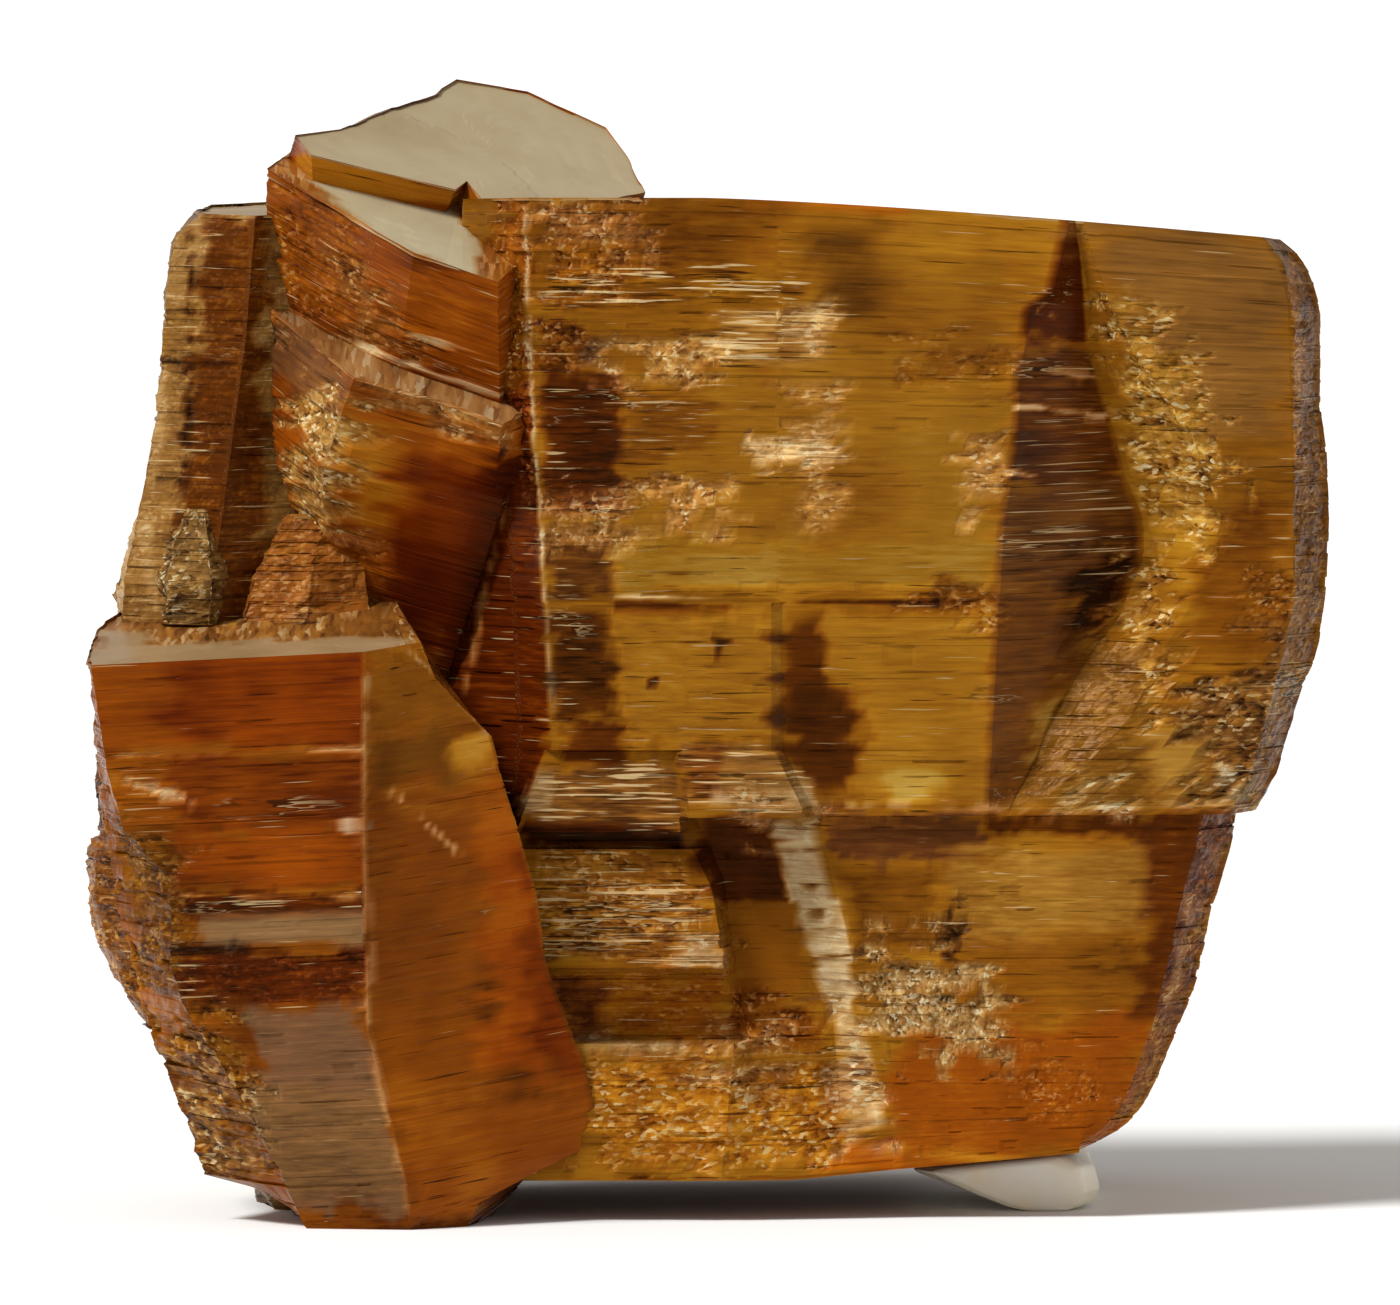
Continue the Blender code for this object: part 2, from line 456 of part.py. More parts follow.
def settle_main(point):
    """The main crystal's point with its top lowered towards the right and the back, and its foot raised."""
    x, y, z = point
    top = max(0.0, (z - TOP_SINK_FROM) / (MAIN_TOP - TOP_SINK_FROM))
    right = share_between(x, TOP_SINK_START_X, TOP_SINK_END_X) ** 1.3
    back = share_between(y, -6.5, CLUSTER_DEPTH / 2)
    foot = share_between(FOOT_RISE_UNDER - z, 0.0, FOOT_RISE_UNDER - MAIN_BASE)
    far = share_between(x, FOOT_RISE_START_X, FOOT_RISE_END_X)
    return (x, y, z - top * (TOP_SINK_RIGHT * right + TOP_SINK_BACK * back) + FOOT_RISE_RIGHT * foot * far)


def main_crystal(surface):
    draw = random.Random(11)
    heights = layer_heights(MAIN_BASE, MAIN_TOP, MAIN_LEDGES, draw, 0.5, 1.5)
    rings = [[settle_main(point) for point in ring] for ring in book_rings(MAIN_CORNERS, heights, draw)]
    return add_mesh("phlogopite_crystal", loft(rings), surface)


def relative(corners, pivot):
    """Corner paths measured from a pivot's x and y."""
    return {
        name: [(height, x - pivot[0], y - pivot[1]) for height, x, y in path]
        for name, path in corners.items()
    }


def front_crystal(surface):
    draw = random.Random(23)
    heights = layer_heights(FRONT_BASE, FRONT_TOP, FRONT_LEDGES, draw, 0.45, 1.4)
    rings = book_rings(relative(FRONT_CORNERS, FRONT_PIVOT), heights, draw)
    rings = placed(rings, FRONT_PIVOT, FRONT_LEAN_DEG, FRONT_ROLL_DEG)
    return add_mesh("front_crystal_form", loft(rings), surface)


def stair(name, corners, span, ledges, seed, surface):
    """One stair of the tilted stack."""
    draw = random.Random(seed)
    heights = layer_heights(*span, ledges, draw, 0.5, 1.4)
    rings = placed(book_rings(corners, heights, draw), STACK_CORNER, STACK_LEAN_DEG, STACK_ROLL_DEG)
    return add_mesh(name, loft(rings), surface)


def tilted_stack(surface):
    low = (LOW_STAIR_BASE, LOW_STAIR)
    middle = (MIDDLE_STAIR_BASE, MIDDLE_STAIR)
    high = (HIGH_STAIR_BASE, HIGH_STAIR)
    return [
        stair("low_stair_form", LOW_STAIR_CORNERS, low, LOW_STAIR_LEDGES, 37, surface),
        stair("middle_stair_form", MIDDLE_STAIR_CORNERS, middle, MIDDLE_STAIR_LEDGES, 38, surface),
        stair("high_stair_form", HIGH_STAIR_CORNERS, high, HIGH_STAIR_LEDGES, 39, surface),
    ]


def upright_book(name, corners, base, top, ledges, thickness, seed, surface):
    """A book whose layers lie level. The thickness is that of its thinnest and thickest layer."""
    draw = random.Random(seed)
    heights = layer_heights(base, top, ledges, draw, *thickness)
    return add_mesh(name, loft(book_rings(corners, heights, draw)), surface)


def back_column(surface):
    return upright_book(
        "back_column_form", COLUMN_CORNERS, COLUMN_BASE, COLUMN_TOP, COLUMN_LEDGES, (0.6, 1.7), 41, surface
    )


def broken_edges(surface):
    """The ragged rim of the lower-left crystal, and the broken plates beside and on the column."""
    thin = (0.4, 0.9)
    return [
        upright_book("broken_rim_form", RIM_CORNERS, RIM_BASE, RIM_TOP, RIM_LEDGES, thin, 43, surface),
        upright_book("mound_form", MOUND_CORNERS, MOUND_BASE, MOUND_TOP, MOUND_LEDGES, thin, 59, surface),
        upright_book("pale_lump_form", LUMP_CORNERS, LUMP_BASE, LUMP_TOP, LUMP_LEDGES, thin, 61, surface),
    ]


def rear_crystal(surface):
    draw = random.Random(47)
    heights = layer_heights(REAR_BASE, REAR_TOP, REAR_LEDGES, draw, 0.5, 1.6)
    rings = book_rings(relative(REAR_CORNERS, REAR_PIVOT), heights, draw)
    rings = placed(rings, REAR_PIVOT, REAR_LEAN_DEG, REAR_ROLL_DEG)
    return add_mesh("rear_crystal_form", loft(rings), surface)


def ground_cutter():
    """A slab under the base, which leaves the cluster a flat resting face at height 0."""
    made = bmesh.new()
    bmesh.ops.create_cube(made, size=1.0)
    slab = Vector((2 * CLUSTER_WIDTH, 2 * CLUSTER_WIDTH, 20.0)) * MM
    bmesh.ops.scale(made, vec=slab, verts=made.verts)
    bmesh.ops.translate(made, vec=Vector((0, 0, -slab.z / 2)), verts=made.verts)
    return add_mesh("ground_cut_form", made, None)


def as_helper(form):
    """Hides a form that only serves a Boolean."""
    form.hide_render = True
    form.display_type = "WIRE"
    return form


def join(target, forms):
    """Joins forms that have grown into the target, all in one step."""
    grown = bpy.data.collections.new("grown_together")
    bpy.context.scene.collection.children.link(grown)
    for form in forms:
        grown.objects.link(as_helper(form))
    step = target.modifiers.new("join_grown", "BOOLEAN")
    step.operation = "UNION"
    step.solver = "EXACT"
    step.operand_type = "COLLECTION"
    step.collection = grown


def cut(target, form):
    step = target.modifiers.new("cut_" + form.name, "BOOLEAN")
    step.operation = "DIFFERENCE"
    step.solver = "EXACT"
    step.object = as_helper(form)


def calcite_chip(surface):
    """A sliver of calcite: its front outline carried back, narrower at both ends."""
    made = bmesh.new()
    rows = []
    for y, share in CHIP_SECTIONS:
        row = [Vector((CHIP_MIDDLE + (x - CHIP_MIDDLE) * share, y, z)) * MM for x, z in CHIP_OUTLINE]
        rows.append([made.verts.new(point) for point in row])
    count = len(CHIP_OUTLINE)
    for near, far in zip(rows, rows[1:]):
        for i in range(count):
            j = (i + 1) % count
            made.faces.new((near[i], near[j], far[j], far[i]))
    ends = [made.faces.new(rows[0][::-1]), made.faces.new(rows[-1])]
    bmesh.ops.triangulate(made, faces=ends)
    return add_mesh("calcite_chip", made, surface)


def main():
    clear_scene()
    mica = material("phlogopite", MICA_AMBER, 0.2, 0.5)
    calcite = material("calcite", CALCITE_CREAM, 0.5, 0.2)
    cluster = main_crystal(mica)
    front = front_crystal(mica)
    stack = tilted_stack(mica)
    join(cluster, [front, *stack, back_column(mica), *broken_edges(mica), rear_crystal(mica)])
    cut(cluster, ground_cutter())
    calcite_chip(calcite)


main()
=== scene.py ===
"""Looks of a phlogopite crystal cluster: dense layered surfaces and amber, partly see-through mica.

Every crystal is a book of thin layers. Its wall is a surface of two parameters, the way round the outline and
the layer's height: each corner of the outline follows a short path of (height, x, y) in millimetres, and each
layer stands in or out a little, is chipped here and there, and is torn open where the mica is broken.
Each vertex also carries how the mica looks there, and the materials read that from the piece's attributes.
"""

import math

import bpy
import numpy as np
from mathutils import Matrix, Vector


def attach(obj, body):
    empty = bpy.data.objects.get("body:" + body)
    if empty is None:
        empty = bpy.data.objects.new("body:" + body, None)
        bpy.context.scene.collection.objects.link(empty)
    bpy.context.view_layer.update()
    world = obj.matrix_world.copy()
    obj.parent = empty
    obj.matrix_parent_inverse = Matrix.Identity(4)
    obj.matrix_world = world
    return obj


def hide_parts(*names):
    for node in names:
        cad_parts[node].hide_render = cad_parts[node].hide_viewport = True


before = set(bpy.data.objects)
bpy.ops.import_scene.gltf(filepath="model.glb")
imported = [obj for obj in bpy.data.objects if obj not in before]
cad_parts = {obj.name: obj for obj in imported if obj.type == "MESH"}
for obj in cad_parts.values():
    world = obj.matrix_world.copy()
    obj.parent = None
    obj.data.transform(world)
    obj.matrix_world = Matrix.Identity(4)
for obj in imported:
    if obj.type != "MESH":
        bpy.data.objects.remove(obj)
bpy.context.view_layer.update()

MM = 0.001
BODY = "root"
TINY = 1e-9

# How fine the surfaces are: columns a millimetre on the sides that face the viewer and on the others.
FINE_COLUMNS = 5.2
PLAIN_COLUMNS = 2.2
FINE_REACH_Y = -3.4
COLUMN_DRIFT = 0.3
STEP_RISE = 0.02
STEP_SHARE = 0.3
INSIDE = 1e-4
CAP_RINGS = 18
CAP_INSET = 0.998

# Layers: how unlike their thicknesses are, and the least share of one. Relief of the walls in mm: how far
# layers jut, how much of the relief a plain layer has, and chips as their stretch, share and depth.
LAYER_SPREAD = 1.3
THIN_LAYER = 0.25
LAYER_JUT = 0.022
PLAIN_RELIEF = 0.35
CHIPS = ((6.0, 0.10, 0.05), (2.4, 0.12, 0.08), (0.8, 0.07, 0.11))
# Torn mica, in mm: hollows and pits as their cell and depth, then its grain and how far it lifts.
HOLLOWS = ((0.9, 0.9, 0.55), 0.26)
PITS = ((0.36, 0.36, 0.22), 0.20)
TORN_GRAIN = 0.05
TORN_LIFT = 0.08
TORN_CORNER = 0.5
# Flakes on the cleavage faces: their cell in mm, how many levels they have, and how thick one level is.
FLAKES = (((5.0, 7.0, 1.0), 4, 0.035), ((1.6, 2.2, 1.0), 3, 0.015))

# Cells of the smooth noise, in mm, that the looks drift by and that makes the edges of zones ragged.
CLOUD_CELL = (4.5, 4.5, 3.5)
STREAK_CELL = (4.0, 4.0, 0.5)
HUE_CELL = (6.0, 6.0, 5.0)
PATCH_CELL = (2.2, 2.2, 1.6)
RAGGED_CELL = (0.7, 0.7, 0.35)
FRAYED_CELL = (0.25, 0.25, 0.12)
RUNNING_CELL = (2.2, 2.2, 0.32)

# The photo's frame: its width at the front of the cluster, what it looks at, and from how far above.
VIEW_WIDTH = 44.44
VIEW_FRONT_Y = -6.5
VIEW_TARGET = (-0.06, 0.0, 17.7)
VIEW_RISE_DEG = 3.5
VIEW_RISE = 0.061
VIEW_LENS_MM = 500.0
SENSOR_MM = 36.0

# Main crystal, front view left to right and then round the back. Heights run up the cleavage direction.
MAIN_BASE = 1.3
MAIN_TOP = 32.55
MAIN_LEDGES = (2.1, 5.7, 7.6, 8.1, 11.8, 12.4, 12.9, 13.2, 15.0, 19.7, 24.0, 26.0, 27.5, 32.1)
MAIN_CORNERS = {
    "left_bevel": [
        (1.3, -7.5, -5.2), (5.7, -7.4, -5.4), (15.0, -5.7, -5.7), (19.7, -5.9, -5.7), (24.0, -6.15, -5.8),
        (32.55, -6.4, -5.7),
    ],
    "left_front": [
        (1.3, -6.0, -6.9), (5.7, -6.0, -7.2), (5.7, -6.1, -5.6), (7.6, -6.1, -5.5), (8.1, -6.1, -6.9),
        (11.8, -6.0, -5.9), (11.8, -6.0, -5.3), (12.4, -6.1, -5.4), (12.4, -5.9, -6.9), (15.0, -4.95, -6.55),
        (15.0, -4.75, -6.75), (19.7, -4.95, -6.75), (19.7, -5.0, -6.5), (22.5, -5.15, -6.5),
        (24.5, -5.35, -6.5), (32.55, -5.7, -6.5),
    ],
    "block_end": [
        (1.3, 0.6, -7.1), (5.7, 1.1, -7.2), (5.7, 1.2, -5.6), (7.6, 0.75, -5.4), (8.1, 0.8, -7.0),
        (10.6, 0.3, -6.3), (11.8, -0.3, -5.9), (11.8, -0.7, -5.4), (12.4, -0.8, -5.5), (12.4, -0.65, -6.8),
        (15.0, -0.95, -6.5), (15.0, -0.9, -6.75), (19.7, -0.9, -6.75), (19.7, -0.9, -6.5),
        (32.55, -0.9, -6.5),
    ],
    "recess_left": [
        (1.3, 1.7, -6.9), (5.7, 1.6, -6.4), (7.6, 1.15, -4.9), (10.6, 0.75, -4.7), (11.8, 0.3, -4.7),
        (12.9, -0.3, -4.9), (12.9, -0.35, -7.6), (13.2, -0.4, -7.7), (15.0, -0.6, -6.9), (15.0, -0.4, -6.75),
        (19.7, -0.4, -6.75), (19.7, -0.3, -6.5), (32.55, -0.3, -6.5),
    ],
    "recess_right": [
        (1.3, 4.4, -6.4), (2.9, 4.5, -6.2), (4.4, 4.35, -5.4), (6.8, 4.1, -4.9), (8.8, 3.15, -4.8),
        (10.5, 2.8, -4.8), (12.2, 1.95, -4.8), (12.9, 2.3, -4.9), (12.9, 3.2, -7.5), (13.2, 3.2, -7.6),
        (15.0, 2.3, -6.9), (15.0, 2.2, -6.75), (19.7, 2.2, -6.75), (19.7, 2.3, -6.5), (32.55, 2.3, -6.5),
    ],
    "block_edge": [
        (1.3, 6.1, -6.1), (2.8, 6.0, -6.05), (5.9, 5.35, -6.05), (8.0, 4.8, -6.05), (10.1, 4.3, -6.05),
        (12.5, 3.75, -6.05), (12.9, 3.7, -6.1), (12.9, 3.65, -6.5), (15.0, 2.6, -6.5), (19.7, 2.55, -6.5),
        (32.55, 2.6, -6.5),
    ],
    "notch_left": [
        (1.3, 8.6, -6.1), (12.9, 8.9, -6.1), (12.9, 9.1, -6.6), (16.0, 9.25, -6.65), (19.7, 9.45, -6.65),
        (19.7, 9.45, -6.5), (22.2, 9.6, -6.5), (24.8, 10.05, -6.5), (27.0, 10.1, -6.5), (29.4, 10.4, -6.5),
        (30.0, 11.15, -6.5), (32.55, 11.65, -6.5),
    ],
    "notch_floor": [
        (1.3, 10.4, -6.1), (12.9, 10.5, -6.1), (12.9, 9.7, -6.5), (13.5, 10.0, -6.1), (14.5, 10.6, -5.5),
        (16.0, 11.2, -4.9), (17.0, 11.8, -4.6), (18.0, 12.4, -4.3), (19.0, 13.3, -3.8), (21.1, 14.1, -3.2),
        (22.1, 14.1, -3.2), (23.6, 13.5, -3.6), (25.2, 13.1, -4.0), (28.2, 12.3, -4.9), (30.7, 12.1, -5.5),
        (32.55, 11.85, -6.3),
    ],
    "notch_right": [
        (1.3, 12.0, -6.0), (12.9, 13.0, -6.05), (12.9, 10.2, -6.5), (14.5, 12.2, -6.1), (16.0, 13.6, -5.9),
        (18.0, 14.6, -5.6), (19.3, 15.4, -5.5), (21.2, 16.3, -5.5), (22.4, 16.4, -5.6), (25.0, 15.4, -5.8),
        (27.0, 14.2, -6.0), (29.8, 12.9, -6.15), (32.55, 12.1, -6.4),
    ],
    "right_front": [
        (1.3, 11.4, -5.7), (1.8, 12.2, -5.8), (2.3, 12.8, -5.8), (3.0, 13.2, -5.8), (4.8, 13.9, -5.8),
        (6.4, 14.5, -5.8), (9.0, 15.1, -5.8), (12.9, 16.0, -5.8), (12.9, 16.8, -5.9), (14.0, 17.4, -5.9),
        (16.0, 18.0, -5.8), (18.0, 18.5, -5.6), (20.0, 18.9, -5.6), (30.4, 18.85, -5.8), (31.6, 18.5, -5.8),
        (32.55, 17.9, -5.8),
    ],
    "right_bevel": [
        (1.3, 12.1, -4.6), (1.8, 13.0, -4.5), (2.3, 13.5, -4.5), (3.0, 13.95, -4.4), (4.1, 14.4, -4.4),
        (5.1, 14.85, -4.3), (7.5, 15.8, -4.2), (9.8, 16.3, -4.1), (11.7, 16.85, -4.1), (12.9, 17.1, -4.1),
        (12.9, 17.7, -4.3), (14.0, 18.3, -4.2), (15.5, 18.75, -4.0), (16.7, 19.1, -3.9), (18.0, 19.65, -3.9),
        (20.0, 19.9, -3.9), (22.2, 20.0, -3.8), (24.4, 19.9, -3.8), (26.0, 19.7, -3.8), (29.9, 19.7, -3.8),
        (31.2, 19.4, -3.8), (32.0, 19.0, -3.9), (32.55, 18.4, -4.1),
    ],
    "right_back": [
        (1.3, 12.2, 0.5), (4.8, 14.3, 0.8), (9.0, 15.7, 1.0), (12.9, 16.6, 1.2), (12.9, 17.4, 1.4),
        (17.8, 19.1, 1.2), (22.2, 19.6, 1.0), (30.6, 19.2, 0.8), (32.1, 18.6, 0.8), (32.1, 18.3, 0.6),
        (32.55, 17.9, 0.6),
    ],
    "back_right": [
        (1.3, 8.8, 8.0), (4.8, 10.6, 9.4), (8.1, 11.6, 10.2), (8.1, 11.0, 9.6), (12.9, 11.9, 10.4),
        (17.8, 13.3, 11.3), (24.0, 13.7, 11.5), (24.0, 13.0, 10.8), (30.6, 12.9, 10.7), (32.1, 12.4, 10.2),
        (32.1, 11.6, 8.9), (32.55, 11.5, 8.7),
    ],
    "back_step_right": [
        (1.3, 4.2, 9.3), (4.8, 4.4, 10.2), (15.0, 4.6, 10.7), (19.7, 4.8, 11.6), (27.5, 4.8, 11.3),
        (27.5, 4.9, 10.6), (32.1, 4.9, 10.2), (32.1, 4.6, 9.0), (32.55, 4.5, 8.8),
    ],
    "back_step_left": [
        (1.3, 3.4, 8.8), (4.8, 3.5, 9.6), (15.0, 3.6, 9.9), (19.7, 3.7, 10.5), (27.5, 3.8, 10.2),
        (27.5, 3.9, 9.8), (32.1, 3.9, 9.4), (32.1, 3.6, 8.6), (32.55, 3.5, 8.4),
    ],
    "back_left": [
        (1.3, -4.0, 8.2), (4.8, -4.4, 9.3), (15.0, -4.9, 10.0), (15.0, -4.4, 9.5), (19.7, -4.5, 10.2),
        (26.0, -4.3, 10.0), (26.0, -3.8, 9.4), (32.55, -3.6, 8.9),
    ],
    "left_back": [(1.3, -9.4, 3.6), (11.8, -9.8, 4.4), (19.7, -9.8, 4.8), (32.55, -7.6, 4.2)],
    "left_inner": [(1.3, -9.0, -3.6), (15.0, -9.0, -3.0), (23.3, -8.4, -3.0), (32.55, -7.6, -3.8)],
}

# Lower-left crystal, in front of the main one. Its axis leans towards the viewer and a little to the left.
FRONT_PIVOT = (-10.4, -10.0, 0.0)
FRONT_LEAN_DEG = 8.0
FRONT_ROLL_DEG = -4.2
FRONT_BASE = -1.6
FRONT_TOP = 18.65
FRONT_LEDGES = (1.4, 5.8, 7.3, 8.9, 9.9, 13.3, 15.2)
FRONT_CORNERS = {
    "front_edge": [
        (-1.6, -9.4, -9.6), (0.3, -9.2, -9.85), (1.5, -9.2, -10.0), (3.0, -9.45, -10.0), (4.7, -9.75, -10.0),
        (6.4, -10.05, -10.0), (8.9, -9.9, -10.0), (12.5, -9.7, -10.0), (18.65, -9.2, -10.0),
    ],
    "right_edge": [
        (-1.6, -8.2, -9.0), (0.3, -7.0, -8.4), (0.9, -5.2, -7.4), (1.4, -3.6, -6.6), (2.8, -3.2, -6.5),
        (4.2, -3.4, -6.6), (5.8, -3.9, -6.8), (7.5, -4.35, -7.0), (9.9, -4.5, -7.1), (12.2, -4.95, -7.4),
        (13.6, -5.25, -7.7), (15.2, -5.5, -8.0), (16.4, -6.4, -8.5), (17.4, -7.1, -8.9), (18.65, -7.5, -9.1),
    ],
    "right_back": [
        (-1.6, -7.4, -5.2), (1.4, -4.0, -3.0), (9.9, -4.8, -3.0), (15.2, -6.4, -3.4), (18.65, -8.3, -2.6),
    ],
    "back_right": [(-1.6, -8.2, 4.6), (1.4, -7.0, 5.4), (18.65, -8.8, 3.2)],
    "back_left": [(-1.6, -13.4, 4.6), (1.4, -14.6, 4.6), (9.9, -15.4, 4.0), (18.65, -16.8, 1.4)],
    "left_back_rough": [
        (-1.6, -12.6, -3.0), (0.4, -14.0, -3.0), (1.4, -15.0, -3.2), (4.5, -16.2, -3.2), (8.0, -16.9, -3.0),
        (12.0, -17.6, -3.0), (18.65, -17.9, -3.0),
    ],
    "left_front_rough": [
        (-1.6, -12.4, -7.0), (0.1, -12.8, -7.0), (0.5, -13.6, -6.6), (1.0, -14.7, -6.4), (1.3, -15.8, -6.4),
        (3.6, -16.4, -6.6), (5.8, -17.1, -6.7), (8.0, -17.5, -6.8), (10.4, -17.9, -6.9), (14.6, -18.1, -7.3),
        (17.6, -18.1, -8.0), (18.65, -18.1, -8.4),
    ],
    "left_edge": [
        (-1.6, -12.0, -9.2), (0.8, -12.8, -9.4), (2.0, -13.2, -9.4), (4.0, -14.2, -9.4), (5.8, -15.0, -9.35),
        (7.3, -15.8, -9.3), (8.9, -16.2, -9.2), (10.9, -16.0, -9.25), (11.8, -16.1, -9.25),
        (13.3, -17.3, -9.1), (15.2, -17.65, -9.05), (18.65, -17.9, -9.0),
    ],
}

# Rear crystal, grown into the back of the main one, its axis leaning a little back and to the left.
REAR_PIVOT = (7.0, 9.0, 0.0)
REAR_LEAN_DEG = -3.0
REAR_ROLL_DEG = -4.0
REAR_BASE = 2.4
REAR_TOP = 19.4
REAR_LEDGES = (5.2, 9.6, 14.2)
REAR_CORNERS = {
    "inner_right": [(2.4, 11.0, 4.0), (19.4, 12.0, 4.0)],
    "right": [(2.4, 10.4, 8.6), (9.6, 12.4, 9.2), (9.6, 12.0, 8.9), (19.4, 12.7, 8.6)],
    "back_right": [(2.4, 9.0, 11.0), (9.6, 10.2, 11.9), (9.6, 9.8, 11.6), (19.4, 10.2, 11.4)],
    "back_left": [
        (2.4, 4.9, 11.4), (5.2, 4.6, 11.9), (5.2, 4.9, 11.6), (14.2, 4.6, 11.9), (14.2, 5.4, 11.5),
        (19.4, 5.2, 11.3),
    ],
    "left": [(2.4, 2.6, 9.6), (14.2, 2.2, 9.6), (14.2, 3.2, 9.4), (19.4, 3.2, 9.2)],
    "inner_left": [(2.4, 3.4, 4.0), (19.4, 3.0, 4.0)],
}

# Tilted stack at the upper left: three stairs whose cleavage tops face up towards the viewer. Each stair's
# foot reaches down into the one below it.
STACK_CORNER = (-11.0, -7.8, 26.9)
STACK_LEAN_DEG = 18.0
STACK_ROLL_DEG = 17.0
LOW_STAIR = 0.0
MIDDLE_STAIR = 4.1
HIGH_STAIR = 4.95
LOW_STAIR_BASE = -12.5
LOW_STAIR_LEDGES = (-8.5, -6.2, -3.2, -2.7, -2.2)
LOW_STAIR_CORNERS = {
    "front_left": [
        (-12.5, 3.6, 1.6), (-8.5, 2.4, 0.9), (-6.2, 1.3, 0.7), (-4.4, 0.2, 0.3), (-3.2, -0.1, 0.0),
        (0.0, 0.0, 0.0),
    ],
    "front_middle": [(-12.5, 5.0, 1.1), (-6.2, 3.8, 0.4), (0.0, 2.9, 0.1)],
    "front_right": [
        (-12.5, 5.8, 0.8), (-6.2, 5.8, 0.5), (-2.7, 5.75, 0.3), (-2.2, 5.3, 0.0), (0.0, 4.9, -0.45),
    ],
    "right_front": [(-12.5, 6.6, 2.8), (-2.7, 6.3, 2.4), (-2.2, 6.4, 1.0), (0.0, 5.6, 1.2)],
    "right": [(-12.5, 8.0, 6.0), (0.0, 8.3, 7.2)],
    "right_back": [(-12.5, 8.6, 9.6), (0.0, 8.5, 11.0)],
    "back_right": [(-12.5, 6.8, 12.8), (0.0, 6.8, 14.4)],
    "back": [(-12.5, 3.4, 13.8), (0.0, 3.4, 15.2)],
    "back_left": [(-12.5, -0.6, 12.6), (0.0, 0.4, 13.2)],
    "left_back_rough": [(-12.5, -3.4, 10.4), (0.0, -2.4, 10.8)],
    "left_knee": [(-12.5, -4.6, 8.2), (0.0, -4.0, 8.6)],
    "left": [(-12.5, -3.6, 5.4), (-3.2, -3.5, 5.3), (0.0, -3.6, 5.0)],
}
MIDDLE_STAIR_BASE = -1.0
MIDDLE_STAIR_LEDGES = (0.0, 1.4)
MIDDLE_STAIR_CORNERS = {
    "front_left": [(-1.0, 0.3, 2.9), (4.1, -0.5, 2.3)],
    "front_middle": [(-1.0, 1.6, 2.35), (4.1, 0.7, 1.35)],
    "front_right": [(-1.0, 5.1, 1.8), (4.1, 3.5, 0.9)],
    "right_front": [(-1.0, 5.8, 3.2), (4.1, 4.0, 2.6)],
    "right": [(-1.0, 7.8, 7.2), (4.1, 6.8, 7.2)],
    "right_back": [(-1.0, 8.0, 11.2), (4.1, 7.7, 11.8)],
    "back_right": [(-1.0, 7.1, 13.8), (4.1, 7.0, 14.9)],
    "back": [(-1.0, 3.4, 15.0), (4.1, 3.6, 16.3)],
    "back_left": [(-1.0, 0.8, 12.9), (4.1, 0.7, 13.4)],
    "left_back_rough": [(-1.0, -1.9, 10.3), (4.1, -1.2, 10.8)],
    "left_knee": [(-1.0, -3.5, 8.3), (4.1, -3.1, 8.6)],
    "left": [(-1.0, -3.3, 5.2), (1.4, -3.75, 5.3), (1.4, -3.5, 5.4), (4.1, -4.2, 5.2)],
}
HIGH_STAIR_BASE = 3.2
HIGH_STAIR_LEDGES = (4.1,)
HIGH_STAIR_CORNERS = {
    "front_left": [(3.2, -2.4, 5.6), (4.95, -3.0, 5.2)],
    "front_middle": [(3.2, 0.5, 6.1), (4.95, 0.6, 5.6)],
    "front_step": [(3.2, 1.7, 6.4), (4.95, 1.8, 5.8)],
    "front_notch": [(3.2, 2.1, 7.3), (4.95, 2.15, 6.9)],
    "front_right": [(3.2, 2.6, 5.7), (4.95, 2.75, 5.2)],
    "right_front": [(3.2, 4.2, 5.6), (4.95, 4.2, 5.1)],
    "right": [(3.2, 8.2, 10.6), (4.95, 8.1, 10.6)],
    "right_back": [(3.2, 7.5, 13.4), (4.95, 7.5, 13.4)],
    "back_right": [(3.2, 6.8, 15.6), (4.95, 6.75, 15.6)],
    "back_knee": [(3.2, 4.2, 16.8), (4.95, 4.1, 16.9)],
    "back": [(3.2, 1.7, 16.0), (4.95, 1.7, 16.1)],
    "back_left": [(3.2, 1.0, 14.1), (4.95, 1.0, 14.3)],
    "left_back_rough": [(3.2, -0.8, 11.2), (4.95, -0.8, 11.2)],
    "left_knee": [(3.2, -2.3, 8.6), (4.95, -2.1, 8.3)],
    "left": [(3.2, -3.5, 6.9), (4.95, -3.55, 6.6)],
}

